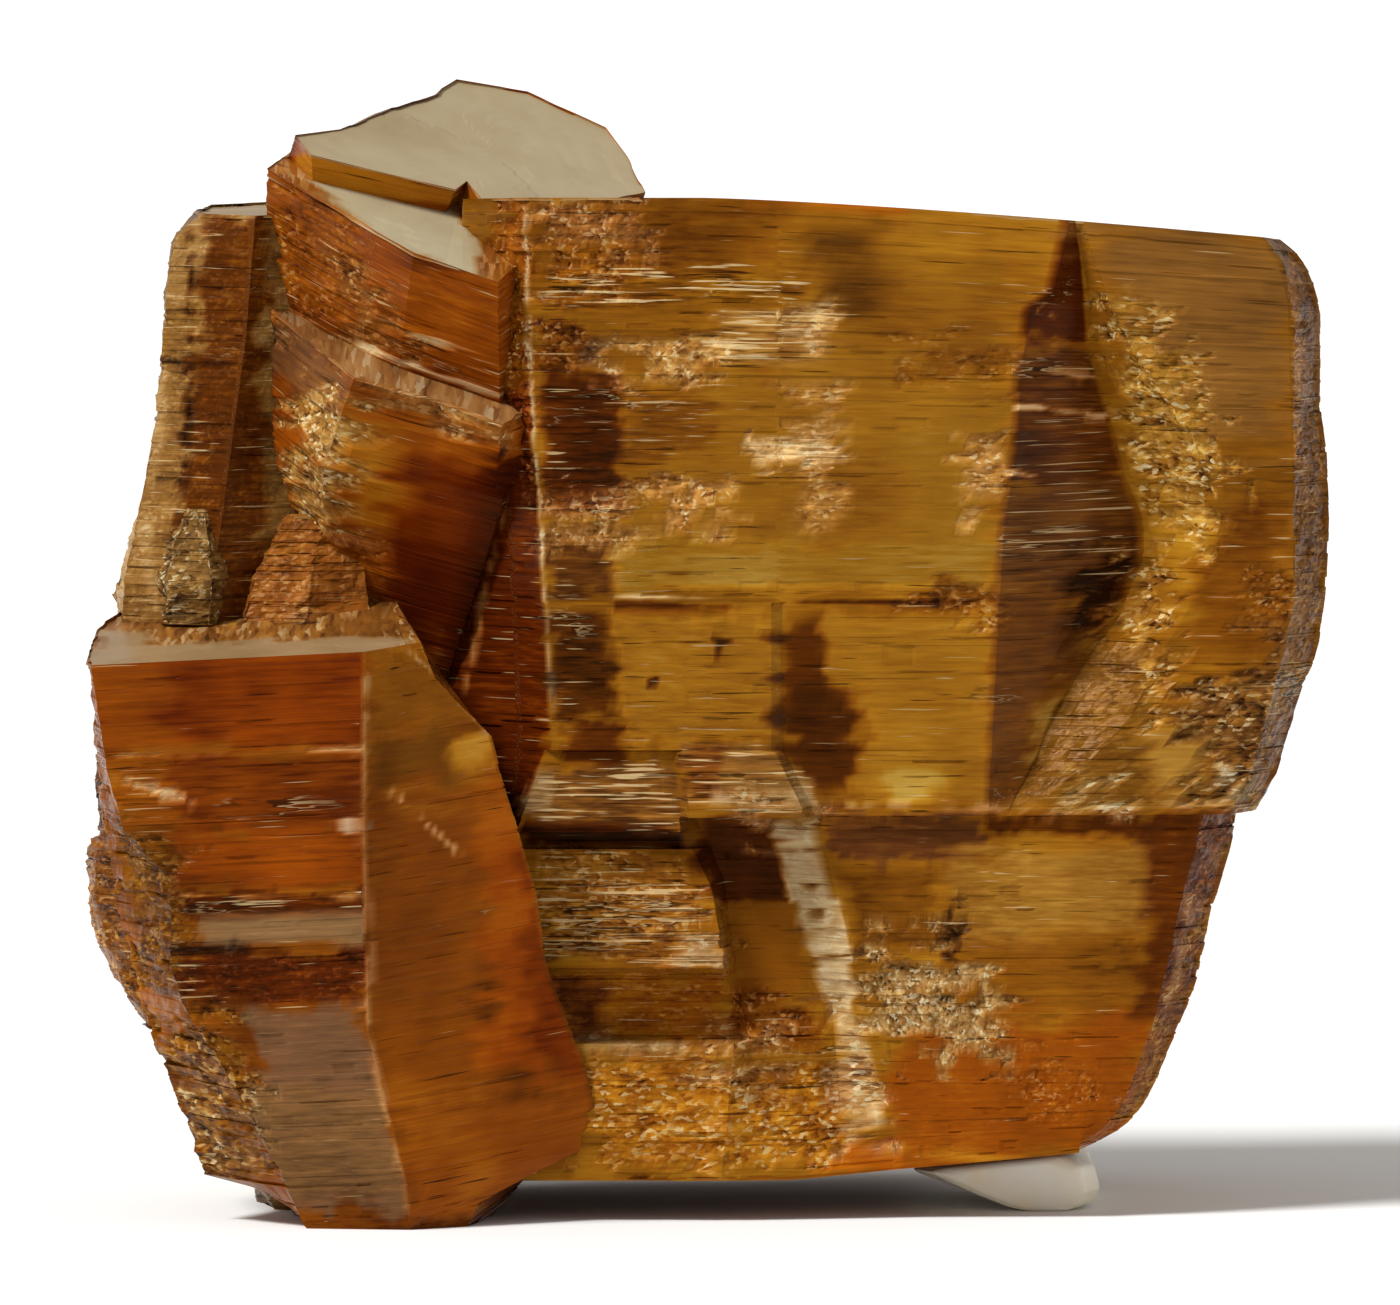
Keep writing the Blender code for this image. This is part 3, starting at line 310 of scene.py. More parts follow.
# Weathered column behind the left edge, which runs on down behind the lower-left crystal to the base.
COLUMN_BASE = -0.4
COLUMN_TOP = 31.9
COLUMN_LEDGES = (6.6, 8.4, 12.4, 15.0, 20.4, 25.2, 28.0, 31.2)
COLUMN_CORNERS = {
    "front": [
        (-0.4, -10.5, -4.0), (6.6, -13.5, -5.4), (15.0, -15.0, -6.0), (20.4, -15.5, -5.8),
        (25.0, -14.9, -5.3), (28.0, -14.5, -5.0), (31.9, -14.2, -4.4),
    ],
    "right_front": [(-0.4, -8.5, -3.0), (15.0, -11.0, -3.8), (28.0, -12.0, -3.0), (31.9, -12.6, -3.0)],
    "right_back": [
        (-0.4, -7.0, 6.8), (8.4, -6.6, 8.2), (15.0, -6.3, 9.1), (15.0, -6.8, 8.6), (28.0, -7.9, 9.0),
        (31.9, -9.0, 8.4),
    ],
    "back": [
        (-0.4, -11.0, 7.4), (8.4, -12.0, 9.6), (20.4, -12.4, 10.6), (20.4, -12.6, 10.0), (28.0, -12.8, 10.0),
        (31.2, -13.0, 9.6), (31.2, -12.8, 9.0), (31.9, -12.8, 8.8),
    ],
    "left_back": [
        (-0.4, -13.6, 4.6), (6.6, -16.6, 5.0), (12.4, -17.6, 5.6), (20.4, -17.4, 6.0), (28.0, -16.9, 5.8),
        (31.2, -16.5, 5.6), (31.9, -15.9, 4.9),
    ],
    "left_rough": [
        (-0.4, -14.2, 0.2), (2.0, -15.2, 0.0), (4.0, -16.1, -0.2), (6.6, -17.4, -0.4), (8.4, -18.9, -0.8),
        (12.4, -19.0, -1.0), (17.8, -19.0, -1.0), (20.4, -18.7, -0.6), (22.8, -18.05, -0.5),
        (25.0, -17.65, -0.4), (28.0, -17.4, -0.2), (30.5, -17.15, 0.0), (31.2, -17.0, 0.0),
        (31.9, -16.3, 0.2),
    ],
    "left_front": [
        (-0.4, -13.6, -2.6), (2.0, -14.4, -3.2), (6.6, -16.6, -3.8), (8.4, -18.2, -4.2), (15.0, -18.3, -4.6),
        (18.6, -18.5, -4.6), (20.4, -18.4, -4.4), (25.0, -17.5, -3.8), (30.5, -17.0, -3.2),
        (31.2, -16.8, -3.0), (31.9, -16.0, -2.8),
    ],
}

# Broken rim along the left of the lower-left crystal: ragged layer ends that bulge out of the outline.
RIM_BASE = 6.0
RIM_TOP = 18.2
RIM_LEDGES = (7.3, 9.3, 12.0, 13.6, 15.9)
RIM_CORNERS = {
    "outer_front_rough": [
        (6.0, -17.6, -6.0), (7.3, -18.5, -6.2), (9.3, -19.2, -6.2), (10.4, -19.5, -6.0), (12.0, -19.4, -5.8),
        (12.0, -19.1, -6.1), (13.6, -19.2, -6.3), (15.9, -19.3, -6.4), (18.2, -19.1, -6.6),
    ],
    "front_rough": [
        (6.0, -16.8, -7.2), (8.2, -17.4, -7.9), (12.0, -18.0, -8.3), (13.6, -18.5, -8.3), (18.2, -18.8, -8.3),
    ],
    "inner_front": [(6.0, -15.5, -7.0), (18.2, -16.5, -7.6)],
    "inner_back": [(6.0, -15.5, -2.0), (18.2, -16.4, -2.0)],
    "outer_back_rough": [
        (6.0, -17.0, -1.0), (8.2, -18.6, -0.8), (10.4, -19.3, -0.8), (12.0, -19.3, -1.0), (13.6, -18.9, -1.2),
        (18.2, -18.9, -1.4),
    ],
    "outer_rough": [
        (6.0, -17.9, -3.6), (7.3, -18.75, -3.6), (8.2, -19.3, -3.6), (9.3, -19.6, -3.6), (10.4, -19.85, -3.6),
        (12.0, -19.8, -3.6), (12.0, -19.4, -3.8), (13.6, -19.45, -3.8), (14.9, -19.5, -3.8),
        (15.9, -19.3, -4.0), (18.2, -19.1, -4.2),
    ],
}

# Low mound of broken plates in the corner between the column and the tilted stack.
MOUND_BASE = 18.4
MOUND_TOP = 22.4
MOUND_LEDGES = (19.6, 21.2)
MOUND_CORNERS = {
    "outer_front_rough": [(18.4, -15.0, -6.3), (20.4, -14.4, -5.8), (22.4, -13.2, -4.6)],
    "front_rough": [(18.4, -12.6, -6.9), (20.4, -12.4, -6.2), (22.4, -12.0, -4.8)],
    "inner_front": [(18.4, -10.4, -6.2), (22.4, -10.9, -4.4)],
    "inner_back": [(18.4, -11.0, -2.0), (22.4, -11.4, -2.0)],
    "outer_back": [(18.4, -15.0, -3.2), (22.4, -13.8, -3.2)],
}

# Pale lump of plates low on the front of the column.
LUMP_BASE = 18.9
LUMP_TOP = 22.6
LUMP_LEDGES = (20.4, 21.6)
LUMP_CORNERS = {
    "left_rough": [(18.9, -17.5, -4.2), (20.4, -17.6, -4.4), (21.6, -17.3, -4.4), (22.6, -16.7, -4.3)],
    "front_left_rough": [(18.9, -17.1, -5.8), (20.4, -17.1, -6.1), (21.6, -16.8, -5.9), (22.6, -16.4, -5.1)],
    "front_right_rough": [(18.9, -15.6, -6.4), (20.4, -15.5, -6.7), (21.6, -15.6, -6.3), (22.6, -15.8, -5.4)],
    "right": [(18.9, -14.6, -5.0), (21.6, -14.8, -4.9), (22.6, -15.3, -4.7)],
    "back": [(18.9, -16.4, -3.2), (22.6, -16.2, -3.6)],
}

# The main crystal's top sinks a little to the right and to the back, and its foot rises to the right.
TOP_SINK_FROM = 25.0
TOP_SINK_RIGHT = 1.35
TOP_SINK_START_X = 0.0
TOP_SINK_END_X = 19.0
TOP_SINK_BEND = 1.3
TOP_SINK_BACK = 1.0
TOP_SINK_FRONT_Y = -6.5
TOP_SINK_REAR_Y = 12.6
FOOT_RISE_UNDER = 4.0
FOOT_RISE_RIGHT = 0.9
FOOT_RISE_START_X = 3.0
FOOT_RISE_END_X = 13.0

# Calcite chip under the right-hand end: outline in the front view as (x, z), and its reach in y.
CHIP_OUTLINE = (
    (6.6, 1.25), (8.3, 0.6), (9.6, 0.14), (10.4, 0.0), (12.0, 0.0), (12.6, 0.22), (12.85, 0.65), (12.6, 1.42),
    (11.8, 1.8), (9.2, 1.58), (7.2, 1.39),
)
CHIP_MIDDLE = 10.2
CHIP_COLUMNS = 110
CHIP_ROWS = 50
# Its rounded ends: how long they are, where the even rows start, and the outline's share at the tip.
CHIP_END = 0.3
CHIP_BODY_FROM = 0.35
CHIP_END_SHARE = 0.72
CHIP_WAVES = 0.10
# Each section of the chip: its y, and the outline's share of its width there.
CHIP_SECTIONS = ((-3.4, 0.78), (-2.2, 0.97), (2.8, 0.94), (4.4, 0.7))

# How the mica looks, from 0 to 1 each: glow (dark to bright, with painted light in windows where light
# comes through and painted shade in recesses and under ledges), red (gold to orange-red), pearl (clear to
# pale satin: paler mica, with a painted pearly sheen), broken (whole to torn and sparkling, with painted
# sparks), glint (how many bright layer edges, painted as highlights) and clear (how much light passes
# through).
LOOKS = ("glow", "red", "pearl", "broken", "glint", "clear")


def area(outline, soft=0.35, ragged=0.3, sides=None, around=False, **looks):
    """A zone inside an outline of (x, height) as the front view shows them, in millimetres.

    Torn zones fray out. A zone reaches what faces the viewer, and with around also what faces away.
    """
    fray = looks.get("broken", 0.0)
    return {"outline": outline, "soft": soft + 0.3 * fray, "ragged": ragged + 0.6 * fray, "sides": sides,
            "around": around, "looks": looks}


def box(left, right, foot, head, *edge, **settings):
    """A zone inside an upright rectangle."""
    return area([(left, head), (right, head), (right, foot), (left, foot)], *edge, **settings)


def line(points, wide, soft=0.08, ragged=0.05, **looks):
    """A zone along a line of (x, height) as the front view shows them, in millimetres."""
    return {"line": points, "wide": wide, "soft": soft, "ragged": ragged, "sides": None, "around": False,
            "looks": looks}


def on(sides, *zones):
    """Zones that reach the named sides alone."""
    return [{**zone, "sides": sides} for zone in zones]


LEFT_RECESS = ("left_bevel", "left_inner")
NOTCH_WALL = ("notch_left",)
NOTCH_RIGHT = ("notch_floor", "notch_right")
CLEAVED = ("top",)
RIGHT_BEVEL = ("right_front",)

MAIN_PLAIN = {"glow": 0.50, "red": 0.13, "glint": 0.25}
MAIN_ENDS = {"top": {"glow": 0.62, "red": 0.1, "pearl": 0.55}, "foot": {"glow": 0.4, "red": 0.5}}
MAIN_ZONES = (
    # Upper face: brown at the top left, olive gold in the middle, a dark strip beside the left edge, and low
    # down a golden window, clearer and painted bright as light coming through.
    area([(-5.9, 32.3), (3.0, 32.3), (3.3, 29.0), (-5.9, 29.0)], 1.0, glow=0.36, red=0.25),
    area([(2.2, 31.5), (10.2, 31.0), (10.0, 19.5), (-2.6, 19.5), (-2.6, 26.5), (1.5, 27.5)], 1.2, glow=0.61,
         red=0.2, clear=0.6),
    area([(3.2, 31.6), (5.8, 31.6), (5.6, 28.5), (3.4, 28.5)], 0.9, glow=0.38, red=0.1),
    area([(-5.2, 26.9), (-2.6, 26.6), (-2.7, 22.0), (-5.0, 21.9)], 0.2, 0.15, glow=0.13, red=0.6, glint=0.5),
    box(-5.0, -2.8, 19.5, 22.0, 0.4, glow=0.20, red=0.3, pearl=0.08, glint=0.5),
    box(-2.2, 0.3, 24.0, 26.1, 0.5, glow=0.46, red=0.3, glint=0.7),
    area([(6.5, 25.3), (9.8, 25.3), (9.6, 20.0), (6.5, 20.0)], 0.8, glow=0.70, red=0.2, glint=0.2,
         clear=0.7),
    box(-2.8, 9.4, 19.6, 21.3, 0.3, glow=0.75, red=0.17, glint=0.3, clear=0.7),
    box(-2.7, 2.4, 19.7, 21.2, 0.3, glow=0.84, red=0.17, glint=0.3, clear=0.7),
    line([(1.5, 31.95), (6.4, 31.8)], 0.25, glow=0.6, red=0.9),
    # Sparkling fractures of the upper face.
    box(-5.0, -1.9, 30.9, 32.0, broken=0.85, pearl=0.2, red=0.5, glow=0.48),
    area([(-5.0, 31.0), (-2.2, 31.0), (-2.4, 29.2), (-5.1, 29.3)], broken=0.6, glow=0.42, red=0.4),
    area([(-5.1, 30.0), (3.5, 30.0), (3.5, 28.4), (-5.1, 28.6)], glint=0.9, glow=0.42),
    box(0.3, 4.0, 27.0, 28.9, glint=1.0, pearl=0.15, glow=0.55),
    box(2.6, 4.0, 27.8, 28.9, 0.2, broken=0.55, pearl=0.3, glow=0.62),
    box(-3.5, -2.3, 26.3, 27.3, 0.2, broken=0.8, pearl=0.35, glow=0.55),
    box(-1.9, 0.3, 26.3, 27.6, 0.3, broken=0.7, pearl=0.2, glow=0.6),
    box(-5.0, -3.6, 26.4, 28.3, broken=0.6, glow=0.3, red=0.4),
    box(-4.9, -2.8, 21.5, 22.6, 0.3, broken=0.75, pearl=0.25, glow=0.45),
    area([(2.9, 25.9), (4.5, 25.9), (4.5, 21.8), (3.1, 21.8)], broken=0.45, pearl=0.15),
    box(1.7, 4.5, 23.7, 24.3, 0.15, glint=1.0, broken=0.55, pearl=0.4, glow=0.7),
    box(-1.0, 1.0, 21.7, 22.7, 0.25, broken=0.8, pearl=0.2, red=0.3, glow=0.6),
    area([(6.1, 27.4), (9.8, 27.4), (9.8, 26.0), (6.1, 26.2)], broken=0.35, glow=0.46),
    box(8.5, 9.4, 22.0, 24.4, 0.25, broken=0.7, pearl=0.2, glow=0.6),
    box(6.3, 9.4, 18.9, 19.8, 0.2, broken=0.5, glow=0.35, red=0.3),
    # Left edge of the upper face, with a bright line down it painted as a highlight.
    area([(-6.6, 32.3), (-5.7, 32.3), (-5.2, 22.5), (-5.5, 22.5), (-6.4, 25.0)], broken=0.7, glow=0.5,
         red=0.55),
    line([(-5.6, 31.9), (-5.6, 28.0), (-5.2, 22.0), (-5.0, 18.9), (-4.7, 15.9)], 0.14, pearl=0.6, glow=0.8),
    # Recess left of that edge, darkened as painted shade.
    *on(LEFT_RECESS,
        area([(-10.5, 26.0), (-5.0, 26.0), (-4.6, 15.9), (-4.6, 10.0), (-10.5, 10.0)], 0.4, glow=0.23,
             red=0.85, glint=0.45),
        line([(-7.6, 16.2), (-6.9, 19.8), (-6.2, 22.6)], 0.14, pearl=0.3, glow=0.6, red=0.6)),
    # Ledge across the middle: a painted highlight along its top and painted shade under it. Under the ledge,
    # windows, clearer and painted bright where light comes through, and beside them a band of painted shade.
    area([(-2.8, 19.35), (2.8, 19.25), (2.8, 18.9), (-2.8, 18.95)], 0.12, 0.08, glow=0.2, red=0.5),
    line([(-2.8, 19.5), (2.8, 19.38)], 0.1, pearl=0.5, glow=0.95),
    line([(2.8, 19.3), (9.5, 19.3)], 0.14, glow=0.03, red=0.4),
    area([(-3.0, 18.8), (2.5, 18.9), (2.5, 15.0), (1.5, 14.7), (-2.4, 14.7), (-2.5, 15.6)], 0.25, glow=0.70,
         red=0.29, glint=0.4, clear=0.65),
    area([(-4.9, 18.9), (-3.0, 18.9), (-2.6, 15.6), (-4.6, 15.4)], 0.3, glow=0.18, red=0.35, glint=0.5),
    area([(-4.6, 15.4), (-2.5, 15.5), (-2.6, 14.2), (-4.4, 14.2)], 0.3, glow=0.2, red=0.5),
    area([(2.5, 19.1), (3.9, 19.1), (4.2, 16.5), (5.2, 16.4), (4.9, 13.2), (3.9, 12.9), (3.2, 13.9),
         (2.5, 15.0)], 0.5, 0.05, glow=0.19, red=0.4, glint=0.15),
    area([(2.8, 16.6), (5.0, 16.6), (5.0, 14.6), (2.9, 14.6)], 0.3, glow=0.12, red=0.4),
    area([(3.9, 18.9), (9.2, 18.9), (9.0, 13.0), (5.0, 12.9), (5.2, 16.4), (4.2, 16.5)], 0.4, glow=0.68,
         red=0.2, glint=0.3, clear=0.6),
    box(6.0, 7.3, 12.9, 13.8, 0.5, glow=0.9, red=0.0),
    box(0.4, 0.8, 17.7, 18.1, 0.1, 0.1, glow=0.1, red=0.4),
    box(-1.8, -1.4, 16.5, 16.9, 0.1, 0.1, glow=0.1, red=0.4),
    # Notch: dark face crossed by bright lines, painted highlights on its layer edges.
    *on(NOTCH_WALL,
        box(9.0, 13.5, 27.4, 31.9, 0.4, glow=0.14, red=0.7, glint=0.1),
        area([(9.0, 27.4), (14.5, 27.4), (15.0, 23.0), (9.0, 23.0)], 0.4, glow=0.23, red=0.45, pearl=0.06,
             glint=0.55),
        box(9.0, 15.0, 19.6, 23.0, 0.4, glow=0.30, red=0.32, pearl=0.12, glint=0.6),
        area([(9.0, 19.6), (15.0, 19.6), (13.0, 12.9), (9.0, 12.9)], 0.4, glow=0.33, red=0.34, pearl=0.06),
        area([(11.6, 20.6), (14.6, 21.4), (13.7, 18.0), (11.9, 17.9)], 0.5, glow=0.03, red=0.4, broken=0.3),
        line([(11.3, 30.2), (12.2, 30.15)], 0.12, pearl=0.5, glow=0.8, red=0.5),
        line([(10.7, 28.5), (11.4, 28.3)], 0.2, pearl=0.6, glow=0.8, red=0.5, broken=0.5),
        line([(10.5, 26.6), (12.6, 26.5)], 0.12, pearl=0.5, glow=0.75, red=0.5),
        line([(10.1, 25.5), (12.9, 25.25)], 0.15, pearl=0.6, glow=0.85, red=0.5),
        line([(9.5, 23.5), (10.5, 23.3)], 0.12, pearl=0.5, glow=0.7, red=0.5)),
    # Right of the notch: tan face with foil-like golden fractures and a broken corner.
    area([(12.0, 31.7), (18.7, 31.0), (18.6, 24.0), (15.5, 24.0), (13.3, 27.5)], 1.0, glow=0.44, red=0.14,
         pearl=0.2, glint=0.3),
    area([(16.2, 22.3), (18.8, 22.3), (18.8, 17.4), (15.0, 17.2)], 0.8, glow=0.34, red=0.3),
    area([(10.4, 15.8), (12.5, 17.0), (13.5, 15.5), (16.3, 15.3), (16.4, 13.2), (10.4, 13.2)], 0.4,
         glow=0.62, red=0.03, pearl=0.1),
    area([(12.5, 29.0), (14.3, 28.6), (15.1, 27.5), (16.0, 25.8), (16.5, 24.3), (16.5, 22.6), (16.1, 21.0),
         (14.7, 21.3), (14.2, 23.2), (13.4, 25.1), (12.8, 26.7)], 0.3, 0.5, sides=NOTCH_RIGHT, broken=0.95,
         glow=0.62, red=0.08, pearl=0.08),
    area([(13.5, 20.7), (14.7, 20.5), (14.9, 18.7), (14.9, 16.2), (14.5, 14.9), (13.9, 15.1), (13.7, 16.8),
         (13.3, 18.7)], 0.3, 0.4, broken=0.95, glow=0.60, red=0.15, pearl=0.08),
    area([(12.0, 18.2), (13.5, 18.2), (13.5, 16.0), (12.0, 16.4)], 0.3, broken=0.3, pearl=0.05, glow=0.44,
         red=0.05),
    area([(9.0, 17.4), (13.8, 18.0), (14.6, 12.6), (9.0, 12.6)], 0.4, 0.2, sides=NOTCH_RIGHT, glow=0.36,
         red=0.04, pearl=0.05, broken=0.2, glint=0.3),
    area([(15.1, 15.8), (18.4, 18.0), (18.9, 16.0), (17.8, 12.6), (16.2, 12.9)], 0.5, 0.5, broken=0.9,
         pearl=0.16, glow=0.32),
    area([(16.2, 14.0), (17.0, 14.0), (17.9, 13.0), (16.9, 12.8)], 0.2, pearl=0.8, glow=0.75),
    box(17.3, 18.5, 18.7, 20.4, broken=0.6, glow=0.3),
    area([(17.0, 32.5), (20.5, 32.5), (20.5, 0.0), (12.0, 0.0)], 0.2, 0.1, sides=RIGHT_BEVEL, glow=0.38,
         red=0.08, broken=0.4, glint=0.4),
    line([(18.85, 30.6), (19.0, 27.2), (18.9, 24.0)], 0.3, 0.2, glow=0.6, red=0.3),
    # Ledge under the upper face, with painted sparks and a painted highlight line along it, and the rosy band
    # under that, darkened as painted shade under the ledge.
    area([(3.8, 12.65), (8.9, 12.65), (8.9, 11.0), (4.2, 11.0)], 0.2, glow=0.26, red=0.5, pearl=0.16),
    area([(8.9, 12.6), (16.9, 12.6), (16.8, 11.7), (8.9, 11.9)], 0.2, glow=0.2, red=0.5),
    box(11.2, 13.8, 12.5, 13.3, 0.2, broken=0.8, pearl=0.4, glow=0.7),
    line([(4.7, 12.78), (11.0, 12.72), (17.1, 12.85)], 0.07, 0.1, 0.12, glow=0.66, pearl=0.3),
    # Lower face: brown, a tan window painted bright where light comes through, a dark slit painted as shade,
    # a sparkling patch, orange-red at the foot.
    area([(4.2, 11.0), (7.6, 11.0), (7.6, 8.2), (5.0, 8.2)], 0.4, glow=0.34, red=0.2),
    area([(7.7, 11.3), (14.3, 11.5), (14.3, 8.6), (7.6, 8.4)], 0.4, glow=0.57, red=0.06, pearl=0.08,
         glint=0.4),
    area([(7.4, 8.5), (14.5, 8.7), (14.0, 6.2), (7.4, 6.4)], 0.6, glow=0.42, red=0.22),
    area([(6.0, 6.2), (14.6, 6.3), (13.5, 2.0), (10.0, 1.0), (5.8, 1.4)], 0.7, glow=0.48, red=0.7,
         glint=0.15),
    area([(14.2, 12.2), (17.2, 12.5), (16.2, 9.0), (15.0, 6.0), (13.8, 6.0)], 0.5, glow=0.26, red=0.5),
    line([(15.6, 9.8), (15.3, 8.0), (14.9, 6.6)], 0.35, 0.2, pearl=0.4, glow=0.6),
    area([(7.6, 10.0), (8.2, 10.0), (8.1, 7.8), (7.6, 7.8)], 0.1, glow=0.08, broken=0.3),
    area([(5.3, 8.5), (6.7, 8.3), (9.6, 6.4), (9.6, 5.0), (6.0, 5.0), (5.4, 6.4)], 0.4, 0.6, broken=0.95,
         glow=0.62, pearl=0.35, red=0.15),
    area([(10.0, 5.2), (11.8, 5.4), (12.6, 3.6), (11.0, 2.6), (10.2, 3.4)], 0.5, broken=0.4),
    box(3.6, 6.3, 1.0, 2.3, 0.2, glow=0.6, red=0.95),
    line([(6.0, 1.9), (9.0, 1.6), (12.0, 1.7)], 0.3, 0.2, glow=0.7, red=0.4),
    # Eaves over the recess: pale where their upward faces are painted as lit, and under them a dark slit of
    # painted shade.
    area([(-0.8, 14.7), (0.1, 14.9), (2.5, 14.5), (3.3, 13.7), (3.7, 12.8), (3.0, 12.5), (1.0, 12.7),
         (-0.4, 12.9), (-0.5, 13.8)], 0.1, 0.1, glow=0.48, red=0.15, pearl=0.2, glint=0.9),
    area([(-0.7, 14.5), (0.6, 14.6), (0.6, 13.2), (-0.5, 13.2)], 0.2, glow=0.36, red=0.45, pearl=0.1),
    area([(0.5, 13.4), (3.3, 13.5), (3.7, 12.8), (0.5, 12.8)], 0.15, 0.1, pearl=0.6, glow=0.66, glint=0.6),
    area([(-5.8, 13.2), (-4.9, 14.0), (-0.8, 14.1), (-0.5, 12.4), (-0.5, 11.9), (-5.7, 12.4)], 0.15,
         glow=0.34, red=0.25, pearl=0.15, glint=0.9),
    area([(-5.9, 13.0), (-5.3, 13.9), (-4.6, 13.9), (-4.9, 12.6), (-5.9, 12.4)], 0.2, pearl=0.55, glow=0.58),
    area([(-5.9, 12.4), (-0.6, 12.0), (-0.6, 11.4), (-5.7, 11.6)], 0.12, 0.1, glow=0.03, red=0.7),
    # Blocks left of the recess, with a pale corner painted as lit.
    area([(-5.0, 11.3), (-1.2, 11.2), (-0.4, 10.4), (0.2, 9.6), (0.9, 8.6), (1.0, 7.5), (-5.1, 7.8)], 0.15,
         glow=0.47, red=0.3, pearl=0.05, glint=0.8, broken=0.5),
    area([(-1.0, 8.9), (0.5, 9.2), (0.9, 7.6), (-0.6, 7.5)], 0.3, pearl=0.5, glow=0.62),
    area([(-5.1, 7.7), (0.6, 7.4), (0.7, 5.3), (-4.5, 5.4)], 0.2, glow=0.56, red=0.5, glint=0.4,
         broken=0.25),
    area([(-4.6, 7.3), (-3.2, 7.3), (-3.2, 5.6), (-4.4, 5.6)], 0.4, glow=0.24, red=0.6, pearl=0.05),
    line([(-3.8, 5.35), (-0.5, 5.2)], 0.25, 0.15, pearl=0.55, glow=0.7, broken=0.4),
    # Recess: dark above as painted shade, a smooth brown panel, and the pale jointed ribbon down its right
    # side, its own pale colour brightened as painted light on a wall that faces the light.
    area([(0.2, 12.6), (2.6, 12.6), (3.0, 9.6), (0.8, 9.6), (-0.2, 11.0)], 0.3, glow=0.15, red=0.55),
    box(1.2, 3.7, 12.0, 12.5, 0.15, broken=0.7, pearl=0.35, glow=0.55),
    area([(0.8, 9.6), (3.0, 9.7), (3.4, 7.5), (3.0, 6.7), (1.1, 6.7), (0.7, 8.2)], 0.15, glow=0.46, red=0.28,
         glint=0.0),
    area([(0.6, 6.6), (3.6, 6.6), (4.2, 4.9), (1.0, 4.9)], 0.3, glow=0.37, red=0.5, broken=0.5),
    area([(2.3, 12.0), (3.6, 12.1), (3.9, 10.7), (4.6, 9.4), (4.9, 6.4), (5.5, 4.3), (5.9, 2.4), (4.9, 2.4),
         (4.4, 4.3), (4.3, 5.9), (3.6, 7.4), (3.1, 9.3), (2.5, 10.7)], 0.1, 0.06, pearl=0.62, glow=0.88,
         red=0.25, broken=0.2, glint=0.6),
    *(line([(1.9 + 0.27 * down, 11.3 - down), (4.3 + 0.27 * down, 11.5 - down)], 0.05, 0.04, 0.03, glow=0.3,
           pearl=0.25)
      for down in (0.0, 1.1, 1.9, 2.5, 3.4, 4.2, 4.7, 5.9, 6.6)),
    area([(4.2, 6.4), (5.0, 6.4), (5.6, 4.3), (6.0, 2.0), (4.8, 2.0), (4.4, 4.3)], 0.2, broken=0.85,
         pearl=0.35, glow=0.7),
    # Foot under the blocks: golden nuggets.
    area([(-3.9, 5.2), (3.2, 5.0), (4.6, 4.6), (4.8, 1.6), (0.0, 1.0), (-3.8, 1.2)], 0.4, 0.5, broken=0.7,
         glow=0.62, red=0.4),
    area([(0.0, 5.5), (2.5, 5.3), (2.5, 3.9), (0.2, 4.0)], 0.3, 0.4, broken=0.9, pearl=0.2, glow=0.56),
)

